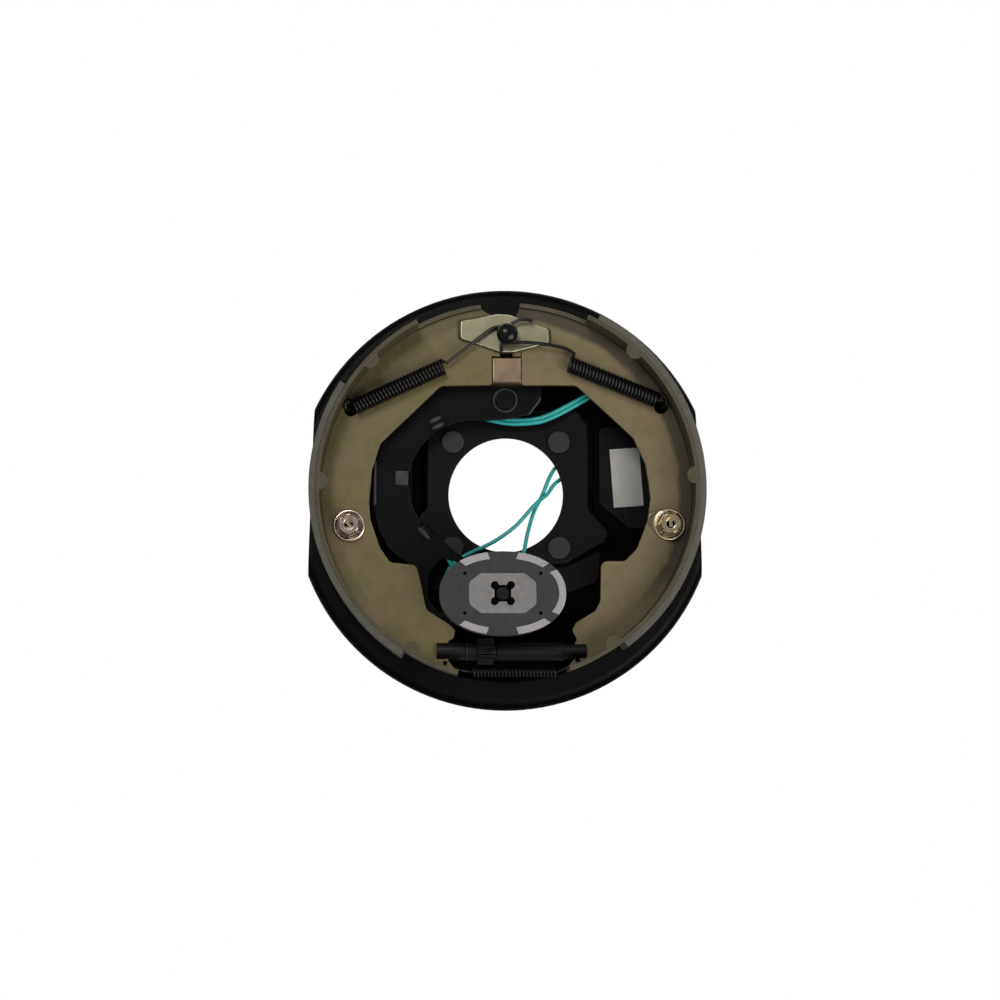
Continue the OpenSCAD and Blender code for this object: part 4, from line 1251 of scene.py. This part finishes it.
@dataclass
class LeverAndMagnet:
    """The lever arm with its cam block, and the magnet on its post.

    Attributes:
        lever: What moves with the lever arm.
        magnet: What slides on the magnet's post.
        post: The post's middle in X and Z.
        pits: How far the four pits of the facing lie from it, along X and Z.
        pit_y: Levels of the near-black discs that paint shade in the pits.
        pit_r: Radius of those discs.
        spring_y: Levels of the spring's ends, on the arm and on the magnet.
        spring_r: Radius of the spring at those ends.
        spring_turns: Turns of the spring.
        wire_r: Radius of its wire.
        travel: How far the magnet slides. Not used.
    """

    lever: tuple[Dress, ...] = (
        Dress(
            "lever_arm", ARM_PAINT, "black_paint", 0.5, flatten=0.0, edge_wear_and_highlight=0.3, whole=TAB_WINDOWS,
        ),
        Dress("lever_clip", PHOSPHATE, "dark_steel", 0.2),
        Dress("cam_block", PINK_ZINC, "block_plate", 0.5, steps=3),
        Dress("magnet_post", SCREW_STEEL, "dark_steel", 0.25, edge_wear_and_highlight=0.0),
        # The clip in the bore is near black, as painted shade in the core's hole
        Dress("magnet_clip", SHADE_BLACK_STEEL, "dark_steel", 0.15),
    )
    magnet: tuple[Dress, ...] = (
        Dress("magnet_case", MAGNET_IRON, "magnet_steel", 0.3, bare=(-56.8, 0.0)),
        Dress("magnet_core", MAGNET_IRON, "magnet_steel", 0.25, edge_wear_and_highlight=0.0),
        Dress("magnet_coil", WINDING, "copper", 0.4),
        Dress("magnet_facing", FACING, "magnet_facing", 0.25),
    )
    post: tuple[float, float] = (-3.3, -67.5)
    pits: tuple[float, float] = (24.0, 12.6)
    pit_y: tuple[float, float] = (-55.6, -56.5)
    pit_r: float = 1.05
    spring_y: tuple[float, float] = (-18.8, -37.2)
    spring_r: tuple[float, float] = (8.6, 13.0)
    spring_turns: int = 4
    wire_r: float = 0.75
    travel: float = 2.0

    def build(self, sweep: Sweep) -> None:
        """Dresses the lever and the magnet, and winds the spring between them.

        Args:
            sweep: The tree that sweeps the spring and the dirt.
        """
        for part in self.lever:
            part.build(Body.LEVER)
        for part in self.magnet:
            part.build(Body.MAGNET)
        self._fill_pits_with_shade(sweep)
        x, z = self.post
        first, last = self.spring_y
        path = coil(
            (x, first, z), (x, last, z), self.spring_r, self.spring_turns,
            steps=32, side=(1, 0, 0),
        )
        piece = sweep.run("magnet_spring_wound", path, self.wire_r, SPRING_WIRE, sides=10)
        settle(piece, Body.LEVER, "magnet_spring")
        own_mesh(piece)

    def _fill_pits_with_shade(self, sweep: Sweep) -> None:
        """Puts near-black discs at the bottom of the facing's four pits, as painted shade.

        Args:
            sweep: The tree that sweeps them.
        """
        x, z = self.post
        wide, high = self.pits
        for number, (across, up) in enumerate(((-1, -1), (-1, 1), (1, -1), (1, 1)), 1):
            bottom = [Vector((x + across * wide, y, z + up * high)) for y in self.pit_y]
            shade_disc = sweep.run(f"facing_pit_dirt_{number}", bottom, self.pit_r, SHADE_BLACK_STEEL)
            settle(shade_disc, Body.MAGNET)


@dataclass
class Adjuster:
    """The nut, the star-wheel screw, the washer and the socket.

    Attributes:
        parts: How each solid is finished, and the body that it rides on.
    """

    parts: tuple[tuple[Dress, Body], ...] = (
        (Dress("adjuster_nut", SCREW_STEEL, "dark_steel", 0.3), Body.SECONDARY),
        (Dress("star_wheel_screw", SCREW_STEEL, "dark_steel", 0.25), Body.STAR),
        (Dress("adjuster_washer", PHOSPHATE, "dark_steel", 0.15), Body.WASHER),
        (Dress("adjuster_socket", SCREW_STEEL, "dark_steel", 0.3), Body.SOCKET),
    )

    def build(self) -> None:
        """Dresses the four pieces."""
        for part, body in self.parts:
            part.build(body)


@dataclass
class Springs:
    """The two retractor springs and the adjuster spring.

    Attributes:
        level: Middle of the retractor springs along Y.
        wire_r: Radius of their wire.
        coil_r: Radius of their windings, at the wire's middle.
        turns: Turns of each.
        coil_steps: Points to a turn.
        post: The anchor post's middle.
        hook_r: Radius of the hooks round the post.
        adjuster_level: Middle of the adjuster spring along Y.
        adjuster_wire_r: Radius of its wire.
        adjuster_r: Radius of its windings.
        adjuster_turns: Its turns.
        bend_steps: Steps between two points of a hook or a tail.
    """

    level: float = -34.1
    wire_r: float = 1.12
    coil_r: float = 4.45
    turns: int = 27
    coil_steps: int = 28
    post: tuple[float, float] = (0.0, 101.0)
    hook_r: float = 5.4
    adjuster_level: float = -21.4
    adjuster_wire_r: float = 0.6
    adjuster_r: float = 2.6
    adjuster_turns: int = 24
    bend_steps: int = 4

    def _wound(
        self, hook: list[Point], ends: tuple[Point, Point], phase: float, tail: list[Point],
    ) -> list[Vector]:
        """Joins a hook, the windings and a tail to the line of a retractor spring.

        Args:
            hook: Points of the hook in the web.
            ends: Middle of the first and of the last turn.
            phase: Angle of the first point of the windings.
            tail: Points from the windings round the post.

        Returns:
            The line of the spring.
        """
        turns = coil(
            *ends, (self.coil_r, self.coil_r), self.turns, self.coil_steps,
            phase=phase, side=(0, -1, 0),
        )
        return smooth(hook, self.bend_steps) + turns + smooth(tail, self.bend_steps)

    def _primary(self) -> list[Vector]:
        """Draws the line of the primary retractor spring.

        Returns:
            The middle line of its wire.
        """
        y = self.level
        hook = [
            (-94.6, -22.5, 56), (-97.8, -22.7, 54.8), (-100.2, -25, 53.4), (-100.9, -26.25, 53),
            (-101.8, -30, 52.8), (-104, y + 1.5, 53.2), (-104.2, y + 0.6, 56.4),
            (-102.4, y, 58.2),
        ]
        tail = [
            (-38.6, y, 82.9), (-24, y, 94.4), (-11.5, y, 104), (-6.6, y, 106.2),
            *arc(self.post, self.hook_r, y, (100, -90), count=10),
            (-3.4, y, 94.6), (-3.9, y, 88.6),
        ]
        return self._wound(hook, ((-98.4, y, 53.7), (-41.2, y, 80.3)), -90, tail)

    def _secondary(self) -> list[Vector]:
        """Draws the line of the secondary retractor spring.

        Returns:
            The middle line of its wire.
        """
        y = self.level
        front = y - 2 * self.wire_r - 0.3
        hook = [
            (93.8, -22.5, 57.8), (97, -22.7, 56.4), (99.4, -25, 55.3), (100.1, -26.25, 55),
            (101.2, -30, 54.9), (103.2, y + 1.5, 56.2), (103, y + 0.4, 59.6),
            (101.2, y, 62),
        ]
        tail = [
            (43.6, y - 0.2, 88.8), (38, y - 0.6, 92.2), (27, (y + front) / 2, 94.6),
            (14, front, 95.8), (6, front, 95.8),
            *arc(self.post, self.hook_r, front, (-90, -275), count=9),
            (3.6, front, 108.4), (8, front, 110.4), (13, front, 110.8), (16.4, front, 110),
        ]
        return self._wound(hook, ((97.4, y, 58.6), (40.4, y, 82)), 90, tail)

    def _adjuster(self) -> list[Vector]:
        """Draws the line of the adjuster spring.

        Returns:
            The middle line of its wire.
        """
        y = self.adjuster_level
        left = [
            (-40.4, -30.1, -112.4), (-39.8, -29.5, -111.2), (-39.6, -26.25, -110.8),
            (-39.2, -23, -111), (-35, y - 0.8, -112.8), (-28, y, -115.4),
        ]
        turns = coil(
            (-22, y, -116.2), (32, y, -116.2), (self.adjuster_r, self.adjuster_r),
            self.adjuster_turns, steps=20,
        )
        right = [
            (37, y, -114), (42, y - 0.8, -111.2), (45, -23, -109.2), (45.3, -26.25, -109),
            (45.3, -29.5, -109.2), (45.6, -30.1, -110.2),
        ]
        return smooth(left, self.bend_steps) + turns + smooth(right, self.bend_steps)

    def build(self, sweep: Sweep) -> None:
        """Winds the three springs; the secondary rides on its shoe, the other two are baked in
        place.

        Args:
            sweep: The tree that sweeps them.
        """
        primary = sweep.run("primary_retractor_wound", self._primary(), self.wire_r, SPRING_WIRE)
        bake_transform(primary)
        settle(primary, node="primary_retractor_spring")
        secondary = sweep.run(
            "secondary_retractor_wound", self._secondary(), self.wire_r, SPRING_WIRE,
        )
        settle(secondary, Body.SECONDARY, "secondary_retractor_spring")
        adjuster = sweep.run(
            "adjuster_spring_wound", self._adjuster(), self.adjuster_wire_r, SPRING_WIRE,
            sides=8,
        )
        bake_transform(adjuster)
        settle(adjuster, node="adjuster_spring")


@dataclass(frozen=True)
class Lamp:
    """A soft round lamp that faces the brake.

    Attributes:
        name: Name of the lamp.
        place: Where it hangs, in metres.
        size: Its width, in metres.
        watts: Its power.
        tint: Its colour.
    """

    name: str
    place: Point
    size: float
    watts: float
    tint: str = "ffffff"

    def hang(self) -> None:
        """Makes the lamp and turns it to the brake."""
        data = bpy.data.lights.new(self.name, "AREA")
        data.shape = "DISK"
        data.size = self.size
        data.energy = self.watts
        data.color = linear(self.tint)[:3]
        turn_to(new_object(self.name, data), self.place, (0.0, 0.0, 0.0))


@dataclass
class Studio:
    """The camera, the lamps, the world and the floor. Lengths are in metres.

    Attributes:
        eye: Where the camera stands.
        aim: The point that it looks at.
        lens: Its focal length, in millimetres.
        lamps: The lamps: upper left, lower right, and one behind the brake.
        ambient: Strength of the world's even light on the brake.
        mirrored: The two slopes along Y between which a reflection goes over to
            the white backdrop, and what it sees before the first and past the second.
        floor_z: Height of the floor.
        floor_r: Radius of the floor.
        floor_fade: Distances from its middle where it starts to fade and is gone.
        floor_glow: How much it is lifted for the camera.
        floor_colour: Its colour.
    """

    eye: Point = (-0.0444, -1.696, -0.166)
    aim: Point = (-0.0037, 0.0, -0.0029)
    lens: float = 93.5
    lamps: tuple[Lamp, ...] = (
        Lamp("key", (-0.36, -1.3, 0.6), 0.6, 6.6, "fffaf2"),
        Lamp("fill", (0.76, -1.2, -0.66), 1.1, 16.0, "fffaf4"),
        Lamp("back", (0.6, 1.5, 0.9), 1.4, 12.0),
    )
    ambient: float = 0.12
    mirrored: tuple[float, float, float, float] = (-0.15, 0.35, 0.3, 1.0)
    floor_z: float = -0.42
    floor_r: float = 0.85
    floor_fade: tuple[float, float] = (0.35, 0.833)
    floor_glow: float = 0.5
    floor_colour: str = "f2f2f2"

    def camera(self) -> None:
        """Makes the camera at the photograph's angle."""
        data = bpy.data.cameras.new("camera")
        data.lens = self.lens
        data.sensor_width = 36.0
        data.clip_start = 0.05
        data.clip_end = 20.0
        made = new_object("camera", data)
        turn_to(made, self.eye, self.aim)
        bpy.context.scene.camera = made

    def world(self) -> None:
        """Makes a world that is white to look at and dim to be lit by.

        Seen by the camera it is plain white. A reflection sees it white
        behind the brake and dim on the drum side, as in a room with a white
        backdrop. Its own light on the brake is an even grey.
        """
        made = bpy.data.worlds.new("studio")
        tree = clear_tree(made)
        ray = add_node(tree, "ShaderNodeLightPath").outputs
        way = add_node(tree, "ShaderNodeTexCoord").outputs["Generated"]
        back = add_node(tree, "ShaderNodeSeparateXYZ", inputs={"Vector": way}).outputs["Y"]
        mirrored = add_node(
            tree, "ShaderNodeMapRange", inputs={"Value": back, **span(*self.mirrored)},
        ).outputs["Result"]
        shiny = add_node(
            tree, "ShaderNodeMath", {"operation": "MAXIMUM"},
            {0: ray["Is Glossy Ray"], 1: ray["Is Transmission Ray"]},
        ).outputs["Value"]
        strength: float | Socket = self.ambient
        for share, level in ((shiny, mirrored), (ray["Is Camera Ray"], 1.0)):
            strength = add_node(
                tree, "ShaderNodeMix", {"data_type": "FLOAT"},
                {0: share, VALUE_A: strength, VALUE_B: level},
            ).outputs[VALUE_OUT]
        sky = add_node(
            tree, "ShaderNodeBackground",
            inputs={"Color": linear("ffffff"), "Strength": strength},
        ).outputs["Background"]
        add_node(tree, "ShaderNodeOutputWorld", inputs={"Surface": sky})
        bpy.context.scene.world = made

    def floor(self) -> None:
        """Lays a pale floor that fades out to the white round it."""
        grid = bmesh.new()
        bmesh.ops.create_circle(
            grid, cap_ends=True, segments=96, radius=self.floor_r,
            matrix=Matrix.Translation((0, 0, self.floor_z)),
        )
        piece = new_object("floor", mesh_of("floor", grid))
        made = bpy.data.materials.new("pale_floor")
        tree = clear_tree(made)
        place = add_node(tree, "ShaderNodeTexCoord").outputs["Object"]
        away = away_from_axis(place, (1.0, 1.0, 0.0))
        fade = add_node(
            tree, "ShaderNodeMapRange", {"interpolation_type": "SMOOTHSTEP"},
            {"Value": away, **span(*self.floor_fade)},
        ).outputs["Result"]
        matt = add_node(
            tree, "ShaderNodeBsdfDiffuse", inputs={"Color": linear(self.floor_colour)},
        ).outputs["BSDF"]
        seen = add_node(tree, "ShaderNodeLightPath").outputs["Is Camera Ray"]
        level = add_node(
            tree, "ShaderNodeMath", {"operation": "MULTIPLY"}, {0: seen, 1: self.floor_glow},
        ).outputs["Value"]
        glow = add_node(
            tree, "ShaderNodeEmission", inputs={"Strength": level},
        ).outputs["Emission"]
        lifted = add_node(
            tree, "ShaderNodeAddShader", inputs={0: matt, 1: glow},
        ).outputs["Shader"]
        clear = add_node(tree, "ShaderNodeBsdfTransparent").outputs["BSDF"]
        mixed = add_node(
            tree, "ShaderNodeMixShader", inputs={0: fade, 1: lifted, 2: clear},
        ).outputs["Shader"]
        add_node(tree, "ShaderNodeOutputMaterial", inputs={"Surface": mixed})
        piece.data.materials.append(made)

    def build(self) -> None:
        """Sets up the whole studio."""
        bpy.context.scene.view_settings.view_transform = "Standard"
        self.camera()
        self.world()
        self.floor()
        for lamp in self.lamps:
            lamp.hang()


def main() -> None:
    """Builds the studio and the brake."""
    logging.basicConfig(level=logging.INFO, format="%(name)s: %(message)s")
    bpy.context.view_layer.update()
    Studio().build()
    sweep = Sweep()
    Leads().build(sweep)
    StrapsAndHighlights().build(sweep)
    BackingPlate().build()
    HoldDowns().build(sweep)
    Shoes().build()
    LeverAndMagnet().build(sweep)
    Adjuster().build()
    Springs().build(sweep)


if __name__ == "__main__":
    main()
